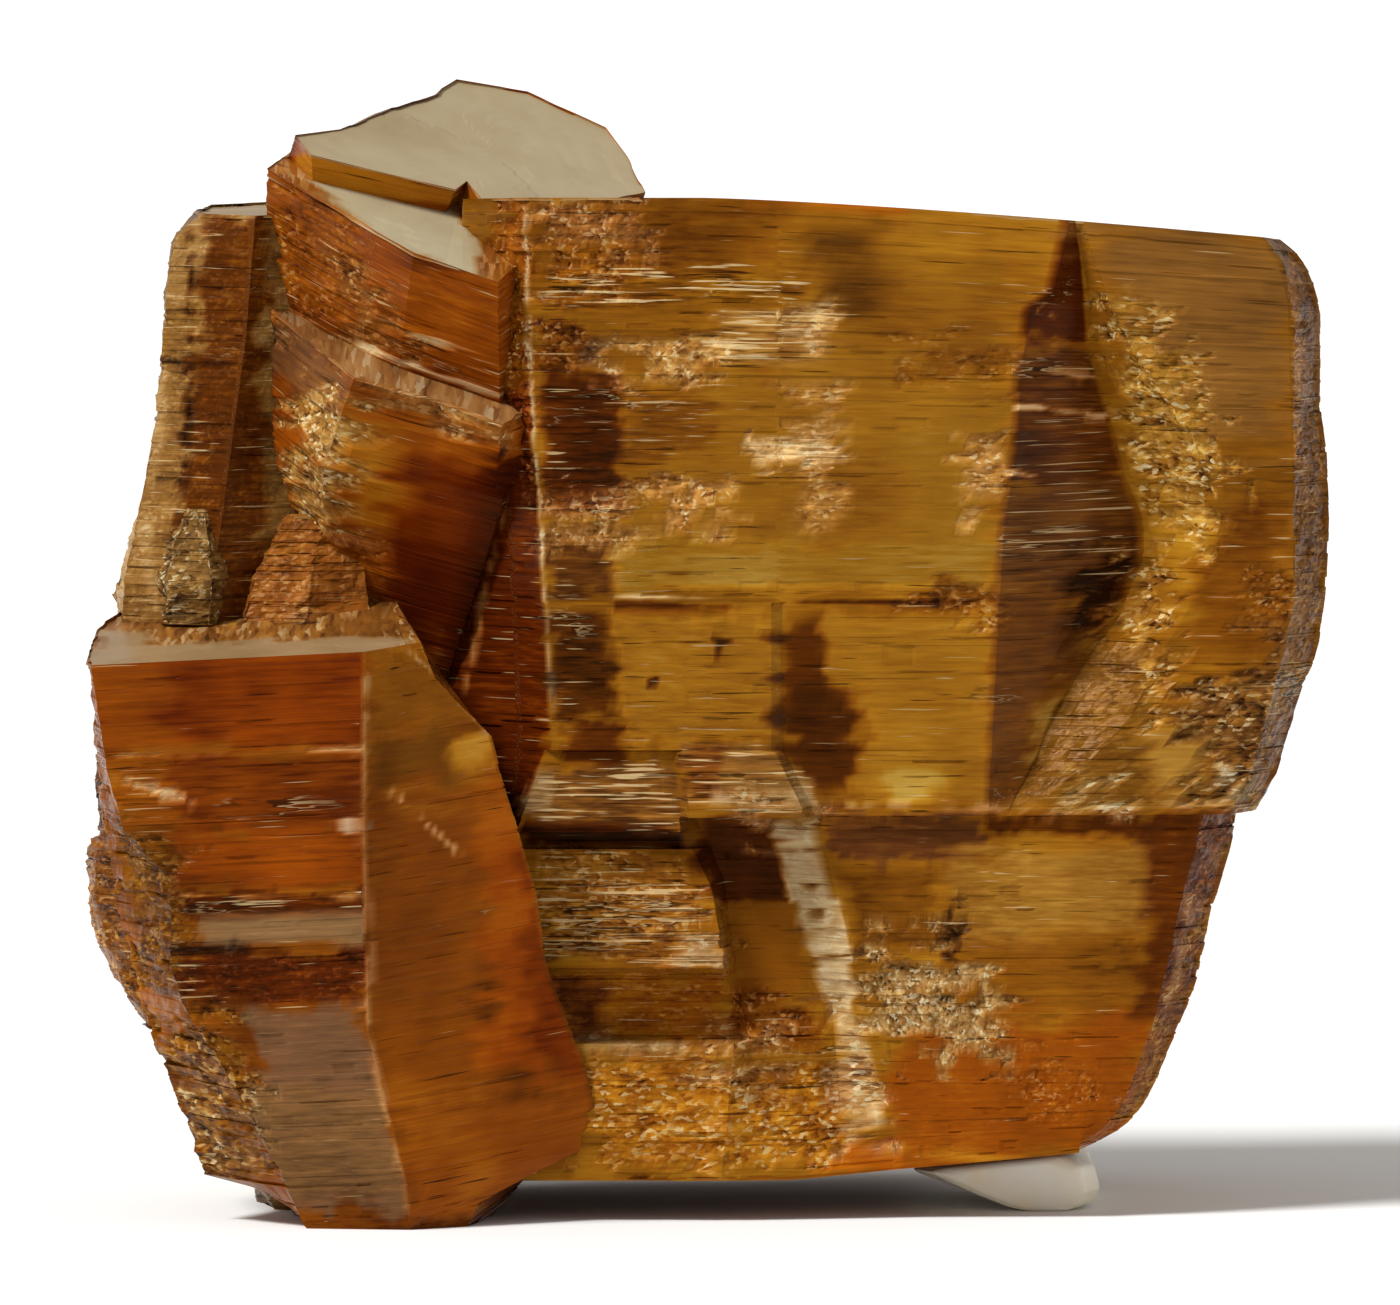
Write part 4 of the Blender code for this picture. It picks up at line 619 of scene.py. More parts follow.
FRONT_LEFT_FACE = ("left_edge",)
FRONT_RIGHT_FACE = ("front_edge",)
FRONT_PLAIN = {"glow": 0.40, "red": 0.5, "glint": 0.25}
FRONT_ENDS = {"top": {"glow": 0.44, "red": 0.3, "pearl": 0.15, "broken": 0.6},
              "foot": {"glow": 0.4, "red": 0.6}}
FRONT_ZONES = (
    # Left front face, from the top down.
    *on(FRONT_LEFT_FACE,
        box(-19.0, -10.0, 14.6, 17.9, 0.3, glow=0.34, red=0.95, glint=0.2),
        box(-19.0, -16.7, 14.8, 17.4, 0.9, glow=0.42, red=0.75),
        box(-17.2, -10.6, 12.2, 14.4, 0.3, glow=0.32, red=0.8, glint=0.3),
        area([(-18.6, 14.3), (-17.0, 14.3), (-16.4, 12.2), (-18.2, 12.2)], 0.4, glow=0.42, red=0.6,
             glint=0.5),
        box(-17.0, -10.6, 10.2, 12.1, 0.25, glow=0.43, red=0.85, glint=0.2),
        area([(-16.4, 10.2), (-10.5, 10.2), (-10.5, 9.4), (-16.4, 9.3)], 0.15, glow=0.22, red=0.7,
             glint=0.7),
        area([(-16.0, 9.35), (-10.5, 9.5), (-10.5, 8.5), (-15.6, 8.4)], 0.1, 0.1, pearl=0.75, glow=0.46,
             red=0.45, glint=0.3),
        area([(-17.2, 8.3), (-10.6, 8.3), (-10.8, 6.6), (-17.2, 6.6)], 0.2, glow=0.20, red=0.8, glint=0.4,
             broken=0.2),
        # Mauve satin low down: a painted sheen of light reflected off the layer steps.
        area([(-14.6, 6.5), (-11.0, 6.6), (-10.2, 4.5), (-9.4, 1.0), (-9.2, 0.0), (-14.2, 0.0),
             (-13.4, 3.0)], 0.2, pearl=0.7, glow=0.34, red=0.7, glint=0.25),
        area([(-14.4, 3.9), (-10.0, 3.9), (-9.2, 0.2), (-14.4, 0.2)], 0.4, pearl=0.55, glow=0.36, red=0.4,
             glint=0.4)),
    area([(-18.0, 6.6), (-14.6, 6.5), (-13.8, 3.0), (-14.0, 0.2), (-16.8, 0.6)], 0.4, 0.4, broken=0.7,
         glow=0.36, red=0.2),
    area([(-16.6, 3.8), (-14.9, 3.8), (-14.9, 1.5), (-16.2, 1.5)], 0.4, 0.4, broken=0.95, pearl=0.2,
         glow=0.5),
    area([(-18.6, 12.0), (-16.9, 11.6), (-16.2, 9.4), (-16.6, 6.6), (-18.0, 6.6)], 0.4, 0.4, broken=0.5,
         pearl=0.0, glow=0.36, red=0.15),
    # Bright lines painted as highlights on layer edges, and dark lines.
    line([(-18.2, 14.5), (-10.8, 14.65)], 0.12, pearl=0.35, glow=0.75, red=0.6, broken=0.3),
    line([(-16.5, 10.02), (-10.8, 9.98)], 0.1, pearl=0.3, glow=0.7, red=0.5),
    line([(-17.0, 8.3), (-10.7, 8.4)], 0.12, glow=0.04, red=0.6),
    line([(-18.4, 13.8), (-16.0, 12.9)], 0.2, pearl=0.5, glow=0.8, broken=0.5),
    area([(-11.9, 12.3), (-11.0, 12.5), (-10.4, 12.2), (-11.2, 12.0)], 0.1, 0.1, pearl=0.8, glow=0.8),
    line([(-14.4, 4.15), (-10.2, 4.3)], 0.12, glow=0.06, red=0.5),
    # Right front face, with bright lines painted as highlights along its edges.
    *on(FRONT_RIGHT_FACE,
        area([(-10.5, 18.0), (-7.2, 17.6), (-6.8, 15.3), (-10.4, 15.3)], 0.5, glow=0.46, red=0.3,
             glint=0.1),
        box(-10.3, -7.8, 13.4, 15.1, 0.5, glow=0.32, red=0.2, glint=0.05),
        area([(-10.5, 13.2), (-6.9, 13.2), (-6.6, 4.0), (-10.2, 4.0)], 0.8, glow=0.41, red=0.62,
             glint=0.08),
        area([(-6.8, 14.3), (-4.6, 13.5), (-4.6, 3.4), (-6.9, 5.0)], 0.7, glow=0.54, red=0.95, glint=0.08),
        area([(-5.6, 11.0), (-3.6, 9.0), (-3.2, 3.5), (-5.4, 5.0)], 0.5, glow=0.36, red=1.0),
        area([(-9.8, 3.6), (-3.0, 4.0), (-3.0, 0.8), (-9.2, -0.4)], 0.7, glow=0.50, red=0.7, glint=0.1),
        box(-7.5, -6.7, 14.2, 15.0, 0.5, glow=0.75, red=0.3),
        line([(-9.9, 13.4), (-7.6, 11.3)], 0.14, pearl=0.4, glow=0.8)),
    line([(-9.2, 17.7), (-7.9, 16.6), (-6.8, 15.2)], 0.18, pearl=0.4, glow=0.75),
    line([(-10.5, 17.2), (-10.7, 12.2), (-10.4, 8.1), (-10.6, 6.6), (-10.2, 4.1), (-9.3, 0.2)], 0.12,
         pearl=0.35, glow=0.6),
    # Cleavage top: pale along the front, a painted pearly sheen.
    area([(-19.4, 18.5), (-17.6, 18.5), (-17.4, 18.1), (-9.2, 18.2), (-9.2, 17.2), (-19.4, 17.0)], 0.15,
         0.15, sides=CLEAVED, pearl=0.85, glow=0.56, red=0.3, broken=0.0),
)

LEFT_FACE = ("left",)
RECESS_FACE = ("front_right",)
STACK_PLAIN = {"glow": 0.42, "red": 0.7, "glint": 0.3}
# Corner that comes out through the back column: as weathered as the column.
STACK_CORNER_ZONE = box(-24.0, -16.4, 6.0, 28.0, 0.3, glow=0.42, red=0.05, pearl=0.3, broken=0.3, glint=0.5,
                        around=True)
STACK_ZONES = (
    STACK_CORNER_ZONE,
    # Riser under the middle stair, with a pale torn band along its top.
    area([(-11.8, 25.2), (-9.5, 24.8), (-8.4, 22.0), (-10.8, 20.6), (-11.7, 23.0)], 0.8, glow=0.57, red=0.4,
         glint=0.1),
    area([(-9.6, 24.2), (-5.8, 23.8), (-6.6, 18.4), (-10.6, 18.4), (-9.8, 21.5)], 1.0, glow=0.25, red=1.0,
         glint=0.05, clear=0.2),
    area([(-11.2, 26.9), (-9.6, 26.4), (-6.0, 25.2), (-6.0, 24.3), (-9.8, 25.6), (-11.2, 25.9)], 0.2, 0.3,
         broken=0.7, pearl=0.2, glow=0.56, red=0.4),
    # Left face: rough orange above, mauve satin with a painted sheen, a granular golden edge, orange at
    # the foot.
    *on(LEFT_FACE,
        area([(-14.6, 32.0), (-10.6, 32.0), (-10.8, 27.8), (-14.6, 27.8)], 0.5, glow=0.46, red=0.6,
             broken=0.4, glint=0.4),
        area([(-14.4, 28.0), (-10.9, 28.0), (-11.1, 24.6), (-12.4, 25.6), (-14.4, 26.5)], 0.4, pearl=0.3,
             glow=0.32, red=0.5),
        box(-15.4, -14.1, 23.8, 27.8, 0.3, glow=0.12, red=0.7, glint=0.5),
        area([(-14.6, 24.2), (-13.3, 24.0), (-13.3, 21.6), (-14.8, 22.4)], 0.3, pearl=0.3, glow=0.34,
             red=0.5)),
    area([(-12.9, 26.2), (-11.2, 25.2), (-11.4, 21.5), (-13.7, 21.2), (-13.4, 23.4)], 0.4, 0.5, broken=0.95,
         pearl=0.2, glow=0.62, red=0.15),
    area([(-14.4, 21.4), (-10.2, 21.2), (-9.8, 18.2), (-15.6, 18.2)], 0.4, glow=0.44, red=0.65, broken=0.3),
    # Recess beside the main crystal, darkened as painted shade.
    box(-10.0, -4.0, 12.0, 24.0, 0.3, sides=RECESS_FACE, glow=0.10, red=0.9, glint=0.2),
    # Riser of the middle stair: orange, torn at its left end, with bright layer edges painted as highlights.
    area([(-10.0, 30.2), (-6.0, 29.4), (-6.0, 25.8), (-9.8, 27.0)], 0.4, glow=0.46, red=0.75, glint=0.4),
    area([(-11.8, 30.4), (-10.0, 29.2), (-9.4, 27.0), (-11.4, 27.2)], 0.4, 0.5, broken=0.6, glow=0.44,
         red=0.45, pearl=0.1),
    line([(-9.3, 27.85), (-7.4, 27.3)], 0.12, pearl=0.5, glow=0.9),
    line([(-10.9, 28.5), (-9.9, 28.2)], 0.14, pearl=0.5, glow=0.85),
    line([(-10.9, 27.45), (-9.6, 26.95), (-6.3, 25.8)], 0.2, pearl=0.6, glow=0.95),
)
# The stack's foot comes out through the back column, as weathered as that.
STACK_FOOT = {"glow": 0.42, "red": 0.05, "pearl": 0.3, "broken": 0.3}
LOW_ENDS = {"top": {"glow": 0.56, "red": 0.4, "pearl": 0.35, "broken": 0.6}, "foot": STACK_FOOT}
MIDDLE_ENDS = {"top": {"glow": 0.52, "red": 0.5, "pearl": 0.1, "broken": 0.5}, "foot": STACK_FOOT}
MIDDLE_ZONES = (
    *STACK_ZONES,
    # Its cleavage top, painted pale as a pearly sheen reflecting the light.
    area([(-12.4, 32.9), (-11.2, 32.6), (-8.0, 31.9), (-7.2, 31.0), (-6.9, 29.4), (-8.2, 29.8),
         (-10.2, 30.6), (-11.1, 31.5)], 0.15, 0.06, sides=CLEAVED, glow=0.75, red=0.0, pearl=1.0,
         broken=0.0),
)
# The high stair's cleavage top is painted pale as a pearly sheen reflecting the light.
HIGH_ENDS = {"top": {"glow": 0.68, "red": 0.05, "pearl": 0.95}, "foot": STACK_FOOT}
HIGH_ZONES = (
    STACK_CORNER_ZONE,
    area([(-12.8, 33.6), (-7.4, 32.6), (-7.4, 31.8), (-12.8, 32.6)], 0.3, glow=0.70, red=0.5, glint=0.1,
         clear=0.0),
)

COLUMN_PLAIN = {"glow": 0.42, "red": 0.05, "pearl": 0.3, "broken": 0.25, "glint": 0.5}
COLUMN_ENDS = {"top": {"glow": 0.6, "pearl": 0.6}, "foot": {"glow": 0.3, "red": 0.4}}
COLUMN_ZONES = (
    area([(-17.6, 32.0), (-14.0, 32.0), (-14.2, 28.8), (-17.4, 28.8)], 0.5, glow=0.55, pearl=0.4, red=0.1),
    area([(-17.4, 28.8), (-14.4, 28.8), (-14.5, 26.6), (-17.6, 26.6)], 0.4, glow=0.40, pearl=0.25,
         glint=0.6),
    area([(-15.8, 26.8), (-14.2, 26.8), (-14.4, 21.0), (-16.0, 21.6)], 0.4, glow=0.3, red=0.3, broken=0.3),
    area([(-19.4, 26.5), (-18.0, 26.5), (-18.8, 17.6), (-20.0, 17.6)], 0.4, glow=0.3, red=0.25),
    # The column's right side, next to the stack, darkened as painted shade.
    area([(-15.9, 31.6), (-13.9, 31.6), (-14.0, 17.6), (-17.2, 17.6), (-16.3, 24.0)], 0.25, 0.3, glow=0.24,
         red=0.4, pearl=0.0, broken=0.15, glint=0.4),
    line([(-16.3, 31.0), (-16.3, 26.5), (-16.8, 20.0)], 0.2, 0.2, 0.2, glow=0.06, red=0.3, pearl=0.0),
    line([(-17.5, 29.9), (-15.0, 29.9)], 0.12, glow=0.08),
    line([(-17.7, 27.05), (-15.0, 26.9)], 0.12, glow=0.08),
    # A bright strip down its left side, painted as glints.
    line([(-17.2, 26.4), (-17.8, 21.4), (-17.4, 19.0)], 0.35, 0.2, pearl=0.4, glow=0.64, broken=0.3),
)
RIM_PLAIN = {"glow": 0.39, "red": 0.30, "pearl": 0.05, "broken": 0.6, "glint": 0.5}
RIM_ENDS = {"top": {"glow": 0.5, "pearl": 0.4}, "foot": {"glow": 0.3, "red": 0.4}}
MOUND_PLAIN = {"glow": 0.44, "red": 0.5, "pearl": 0.1, "broken": 0.4, "glint": 0.3}
LUMP_PLAIN = {"glow": 0.34, "red": 0.02, "pearl": 0.35, "broken": 0.9, "glint": 0.3}


def value_noise(points, cell, seed):
    """Smooth noise from 0 to 1: random values on a cubic lattice, blended between corners by an S-curve."""
    repeat = 32
    table = np.random.default_rng(seed).random((repeat, repeat, repeat))
    scaled = points / np.asarray(cell, float)
    base = np.floor(scaled).astype(int)
    part = scaled - base
    part = part * part * (3 - 2 * part)
    total = np.zeros(points.shape[:-1])
    for corner in np.ndindex(2, 2, 2):
        index = (base + corner) % repeat
        weight = np.prod(np.where(np.array(corner) == 1, part, 1 - part), axis=-1)
        total += weight * table[index[..., 0], index[..., 1], index[..., 2]]
    return total


def layer_edges(base, top, ledges, thickness, draw):
    """Heights where layers meet: the named ledges, and between them layers of drawn thickness."""
    marks = [base, *[ledge for ledge in ledges if base < ledge < top], top]
    edges = [np.array([base])]
    for low, high in zip(marks, marks[1:]):
        count = max(1, round((high - low) / thickness))
        share = draw.gamma(LAYER_SPREAD, size=count) + THIN_LAYER
        edges.append(low + (high - low) * np.cumsum(share) / share.sum())
    return np.concatenate(edges)


def layer_rows(edges):
    """Each layer's foot and head rows: their heights, where the outline is read, and which layer it is."""
    low, high = edges[:-1], edges[1:]
    ease = np.minimum(STEP_RISE, STEP_SHARE * (high - low)) / 2
    heights = np.stack([low + ease, high - ease], axis=1).ravel()
    read_at = np.stack([low + INSIDE, high - INSIDE], axis=1).ravel()
    return heights, read_at, np.repeat(np.arange(len(low)), 2)


def corner_grid(corners, read_at):
    """(rows, corners, 2): where each corner stands at each row, read along its path."""
    grid = []
    for path in corners.values():
        height, x, y = np.array(path).T
        grid.append(np.stack([np.interp(read_at, height, x), np.interp(read_at, height, y)], axis=-1))
    return np.stack(grid, axis=1)


def outline_grid(grid, draw):
    """Columns along each side of the outline: (rows, columns, 2), the way round in mm, and their sides."""
    ahead = np.roll(grid, -1, axis=1)
    side_mm = np.linalg.norm(ahead - grid, axis=-1).mean(axis=0)
    front = np.minimum(grid[..., 1], ahead[..., 1]).mean(axis=0) < FINE_REACH_Y
    counts = np.maximum(2, (side_mm * np.where(front, FINE_COLUMNS, PLAIN_COLUMNS)).astype(int))
    side = np.repeat(np.arange(len(counts)), counts)
    share = np.concatenate([np.arange(count) / count for count in counts])
    drift = draw.uniform(-COLUMN_DRIFT, COLUMN_DRIFT, len(side))
    share = share + np.where(share > 0, drift, 0.0) / counts[side]
    wall = grid[:, side] + (ahead - grid)[:, side] * share[None, :, None]
    start_mm = np.concatenate([[0.0], np.cumsum(side_mm)[:-1]])
    return wall, start_mm[side] + share * side_mm[side], side


def outward_of(wall):
    """Unit normals of the outline, level with the layers, from the columns on either side."""
    along = np.roll(wall, -1, axis=1) - np.roll(wall, 1, axis=1)
    normal = np.stack([along[..., 1], -along[..., 0]], axis=-1)
    return normal / np.maximum(np.linalg.norm(normal, axis=-1, keepdims=True), TINY)


def stretches(layer_of_row, round_mm, length, draw):
    """One random value for each stretch of each layer. A stretch is length mm long, from a drawn start."""
    layers = layer_of_row.max() + 1
    table = draw.random((layers, int(round_mm.max() / length) + 3))
    start = draw.random((layers, 1))
    index = np.floor(round_mm[None, :] / length + start).astype(int)
    return np.take_along_axis(table, index, axis=1)[layer_of_row]


def relief(points, layer_of_row, round_mm, torn, layered, draw, seed):
    """How far each point stands back, in mm: layers in and out, chipped edges, and hollows where torn."""
    layers = layer_of_row.max() + 1
    amount = PLAIN_RELIEF + (1 - PLAIN_RELIEF) * layered
    depth = amount * np.repeat(draw.uniform(-LAYER_JUT, LAYER_JUT, layers), 2)[:, None]
    for length, share, deepest in CHIPS:
        value = stretches(layer_of_row, round_mm, length, draw)
        depth = depth + amount * deepest * np.clip((value - 1 + share) / share, 0, 1)
    (hollow_cell, hollow_depth), (pit_cell, pit_depth) = HOLLOWS, PITS
    hollow = hollow_depth * value_noise(points, hollow_cell, seed)
    pit = pit_depth * value_noise(points, pit_cell, seed + 1)
    return depth + torn * (hollow + pit + TORN_GRAIN * draw.random(torn.shape) - TORN_LIFT)


def lean_and_roll(lean_deg, roll_deg):
    """The turn that leans a book towards the viewer and rolls its layers sideways, as a 3 by 3 matrix."""
    a, b = math.radians(lean_deg), math.radians(roll_deg)
    lean = np.array([[1, 0, 0], [0, math.cos(a), -math.sin(a)], [0, math.sin(a), math.cos(a)]])
    roll = np.array([[math.cos(b), 0, math.sin(b)], [0, 1, 0], [-math.sin(b), 0, math.cos(b)]])
    return lean @ roll


def turned_about(pivot, lean_deg, roll_deg, measured_from=(0.0, 0.0)):
    """A function that turns a book about its pivot. Its outline is first measured from a given x and y."""
    turn = lean_and_roll(lean_deg, roll_deg)
    origin = np.array([*measured_from, 0.0])

    def place(points):
        return (points - origin) @ turn.T + np.array(pivot)

    return place


def as_drawn(points):
    return points


def share_between(value, start, end):
    return np.clip((value - start) / (end - start), 0, 1)


def settle_main(points):
    """The main crystal with its top lowered to the right and the back, and its foot raised at the right."""
    x, y, z = points[..., 0], points[..., 1], points[..., 2]
    top = np.maximum(0, (z - TOP_SINK_FROM) / (MAIN_TOP - TOP_SINK_FROM))
    right = share_between(x, TOP_SINK_START_X, TOP_SINK_END_X) ** TOP_SINK_BEND
    back = share_between(y, TOP_SINK_FRONT_Y, TOP_SINK_REAR_Y)
    foot = share_between(FOOT_RISE_UNDER - z, 0.0, FOOT_RISE_UNDER - MAIN_BASE)
    far = share_between(x, FOOT_RISE_START_X, FOOT_RISE_END_X)
    settled = points.copy()
    settled[..., 2] = z - top * (TOP_SINK_RIGHT * right + TOP_SINK_BACK * back) + FOOT_RISE_RIGHT * foot * far
    return settled


def flakes(points, seed):
    """Relief of a cleavage face in mm: thin flakes whose edges follow lines of smooth noise."""
    depth = 0.0
    for step, (cell, levels, thick) in enumerate(FLAKES):
        noise = value_noise(points * np.array([1, 1, 0]), cell, seed + step)
        depth = depth + np.floor(noise * levels) * thick
    return depth


def cap_rings(rim, down, seed):
    """Rings from a book's rim to the middle of its end, sunk in flakes, and the middle: down is 1 or -1."""
    share = np.concatenate([[CAP_INSET], np.linspace(1, 0, CAP_RINGS + 1)[2:-1]])
    centre = rim.mean(axis=0)
    rings = centre + (rim - centre)[None] * share[:, None, None]
    rings[..., 2] -= down * flakes(rings, seed)
    return rings, rings[-1].mean(axis=0)


def ring_faces(rows, columns):
    """Quads between neighbouring rows of a grid that closes on itself."""
    row, column = np.meshgrid(np.arange(rows - 1), np.arange(columns), indexing="ij")
    low, high, ahead = row * columns, (row + 1) * columns, (column + 1) % columns
    return np.stack([low + column, low + ahead, high + ahead, high + column], axis=-1).reshape(-1, 4)


def fan_faces(start, columns, centre, turned):
    """Triangles from one ring to the point in its middle."""
    column = np.arange(columns)
    near, far = start + column, start + (column + 1) % columns
    if turned:
        near, far = far, near
    return np.stack([near, far, np.full(columns, centre)], axis=-1)


def from_line(x, up, points):
    """Distance to a line of points."""
    nearest = np.full(x.shape, np.inf)
    for (ax, az), (bx, bz) in zip(points, points[1:]):
        run, rise = bx - ax, bz - az
        along = np.clip(((x - ax) * run + (up - az) * rise) / (run ** 2 + rise ** 2), 0, 1)
        nearest = np.minimum(nearest, np.hypot(x - ax - along * run, up - az - along * rise))
    return nearest


def from_outline(x, up, outline):
    """Distance to an outline, negative inside it."""
    closed = [*outline, outline[0]]
    inside = np.zeros(x.shape, bool)
    for (ax, az), (bx, bz) in zip(closed, closed[1:]):
        if az != bz:
            crosses = (az > up) != (bz > up)
            inside ^= crosses & (x < ax + (up - az) * (bx - ax) / (bz - az))
    distance = from_line(x, up, closed)
    return np.where(inside, -distance, distance)


def zone_share(zone, x, up, ragged, streaky):
    """How much each point lies in a zone. Its edge is soft and ragged, and runs out along the layers."""
    if "line" in zone:
        past = from_line(x, up, zone["line"]) - zone["wide"] / 2
    else:
        past = from_outline(x, up, zone["outline"])
    past = past + ragged * zone["ragged"] + streaky * zone["soft"]
    return np.clip(0.5 - past / zone["soft"], 0, 1)


def drifting(plain, ends, points, labels, top, away, seed):
    """The looks before any zone: plain values that drift with smooth noise, more on walls that face away."""
    wall = labels < top
    cloud, streak, hue = (value_noise(points, cell, seed + step) - 0.5
                          for step, cell in enumerate((CLOUD_CELL, STREAK_CELL, HUE_CELL)))
    patch = value_noise(points, PATCH_CELL, seed + 3)
    looks = {}
    for look in LOOKS:
        value = np.where(wall, plain.get(look, 0.0), ends["foot"].get(look, 0.0))
        looks[look] = np.where(labels == top, ends["top"].get(look, 0.0), value)
    looks["glow"] = looks["glow"] + np.where(wall, 0.25 + 0.55 * away, 0.12) * cloud + wall * 0.2 * streak
    looks["red"] = looks["red"] + wall * (0.2 + 0.7 * away) * hue
    looks["broken"] = looks["broken"] + wall * away * 0.8 * share_between(patch, 0.70, 0.80)
    looks["pearl"] = looks["pearl"] + wall * away * 0.5 * share_between(patch, 0.28, 0.18)
    return looks


def paint(zones, points, labels, facing, names, plain, ends, seed):
    """The looks at every point: the drifting plain ones, then each zone laid over them.

    Labels number the sides, then the top and the foot. An end is reached only by zones that name it.
    """
    wall = labels < names.index("top")
    looks = drifting(plain, ends, points, labels, names.index("top"), 1 - facing, seed)
    x, up = points[..., 0], points[..., 2] + VIEW_RISE * points[..., 1]
    ragged = 2 * value_noise(points, RAGGED_CELL, seed + 4) + value_noise(points, FRAYED_CELL, seed + 5) - 1.5
    streaky = 2.4 * (value_noise(points, RUNNING_CELL, seed + 6) - 0.5)
    for zone in zones:
        turned = np.ones(x.shape) if zone["around"] else facing
        if zone["sides"] is None:
            reach = turned * wall
        else:
            sides = np.isin(labels, [names.index(side) for side in zone["sides"]])
            reach = sides * np.where(wall, turned, 1.0)
        share = np.zeros(x.shape)
        shown = reach > 0
        share[shown] = zone_share(zone, x[shown], up[shown], ragged[shown], streaky[shown]) * reach[shown]
        for look, value in zone["looks"].items():
            looks[look] = looks[look] + (value - looks[look]) * share
    return {look: np.clip(value, 0, 1) for look, value in looks.items()}


def add_piece(name, points, shape, values, material):
    """A closed mesh from points in mm: a grid that closes on itself, then the middles of its two ends.

    Values give each point one number for each look. No point lies under the floor.
    """
    rows, columns = shape
    points[:, 2] = np.maximum(points[:, 2], 0.0)
    faces = ring_faces(rows, columns).tolist()
    faces += fan_faces(0, columns, rows * columns, True).tolist()
    faces += fan_faces((rows - 1) * columns, columns, rows * columns + 1, False).tolist()
    mesh = bpy.data.meshes.new(name)
    mesh.from_pydata(points * MM, [], faces)
    for label, value in values.items():
        mesh.attributes.new(label, "FLOAT", "POINT").data.foreach_set("value", value.astype(np.float32))
    mesh.materials.append(material)
    mesh.update()
    return linked(bpy.data.objects.new(name, mesh))


def linked(made):
    bpy.context.scene.collection.objects.link(made)
    return made


def facing_front(points, up_axis):
    """1 where the wall turns to the viewer, 0 where it turns away: its tangent crossed with the axis."""
    tangent = np.roll(points, -1, axis=1) - np.roll(points, 1, axis=1)
    normal = np.cross(tangent, up_axis)
    normal = normal / np.maximum(np.linalg.norm(normal, axis=-1, keepdims=True), TINY)
    return np.clip((-normal[..., 1] - 0.08) / 0.2, 0, 1)


def book(name, corners, span, ledges, thickness, place, zones, plain, ends, seed, material):
    """A crystal's closed surface: a wall of layered rows round the outline, a cleavage face at each end."""
    draw = np.random.default_rng(seed)
    heights, read_at, layer_of_row = layer_rows(layer_edges(*span, ledges, thickness, draw))
    flat, round_mm, side = outline_grid(corner_grid(corners, read_at), draw)
    level = np.broadcast_to(heights[:, None, None], (*flat.shape[:2], 1))
    wall = np.concatenate([flat, level], axis=-1)
    foot, foot_middle = cap_rings(wall[0], -1, seed + 50)
    top, top_middle = cap_rings(wall[-1], 1, seed + 55)
    grid = np.concatenate([foot[::-1], wall, top])
    rows, columns = grid.shape[:2]
    first, last = len(foot), rows - len(top)

    names = [*corners, "top", "foot"]
    labels = np.broadcast_to(side[None, :], (rows, columns)).copy()
    labels[:first] = names.index("foot")
    labels[last:] = names.index("top")
    shown = place(grid)
    facing = facing_front(shown, shown[last - 1].mean(axis=0) - shown[first].mean(axis=0))
    looks = paint(zones, shown, labels, facing, names, plain, ends, seed + 10)

    rough = [index for index, corner in enumerate(corners) if corner.endswith("_rough")]
    beside = np.isin(side, rough) | np.isin((side + 1) % len(corners), rough)
    torn = np.clip(looks["broken"][first:last] + TORN_CORNER * beside[None, :], 0, 1)
    layered = np.clip(looks["glint"][first:last] + torn, 0, 1)
    depth = relief(shown[first:last], layer_of_row, round_mm, torn, layered, draw, seed + 30)
    grid[first:last, :, :2] -= outward_of(flat) * depth[..., None]

    values = {look: np.append(value, [value[0, 0], value[-1, 0]]) for look, value in looks.items()}
    middles = np.array([foot_middle, top_middle])
    walls = labels < names.index("top")
    on_end = span[1] + 0.1 * grid[..., 1]
    values["layer"] = np.append(np.where(walls, grid[..., 2], on_end), span[1] + 0.1 * middles[:, 1])
    values["round"] = np.append(np.where(walls, round_mm[None, :], grid[..., 0]), middles[:, 0])
    points = place(np.concatenate([grid.reshape(-1, 3), middles]))
    return add_piece(name, points, (rows, columns), values, material)


def plug(value, socket):
    """Links a worked out value to a socket, or sets the socket to a plain number or colour."""
    if isinstance(value, Value):
        value.tree.links.new(value.socket, socket)
    else:
        socket.default_value = value


def node(tree, kind, sockets=None, **settings):
    """A shader node with its settings and the values of its sockets."""
    made = tree.nodes.new(kind)
    for name, value in settings.items():
        setattr(made, name, value)
    for name, value in (sockets or {}).items():
        plug(value, made.inputs[name])
    return made


class Value:
    """A number or colour that a shader works out. Numbers add, subtract and multiply as plain ones do."""

    def __init__(self, socket):
        self.socket = socket
        self.tree = socket.id_data

    def math(self, operation, first, second):
        return given(self.tree, "ShaderNodeMath", {0: first, 1: second}, operation=operation)

    def __add__(self, other):
        return self.math("ADD", self, other)

    def __sub__(self, other):
        return self.math("SUBTRACT", self, other)

    def __rsub__(self, other):
        return self.math("SUBTRACT", other, self)

    def __mul__(self, other):
        return self.math("MULTIPLY", self, other)

    def larger(self, other):
        return self.math("MAXIMUM", self, other)

    def size(self):
        return self.math("ABSOLUTE", self, 0.0)


def given(tree, kind, sockets=None, output=0, **settings):
    """The value that a new shader node gives."""
    return Value(node(tree, kind, sockets, **settings).outputs[output])


def vector(operation, first, others=()):
    """A vector worked out from one vector and the other sockets that the operation takes."""
    return given(first.tree, "ShaderNodeVectorMath", {0: first, **dict(others)}, operation=operation)


def look_of(tree, name):
    return given(tree, "ShaderNodeAttribute", output="Fac", attribute_name=name)


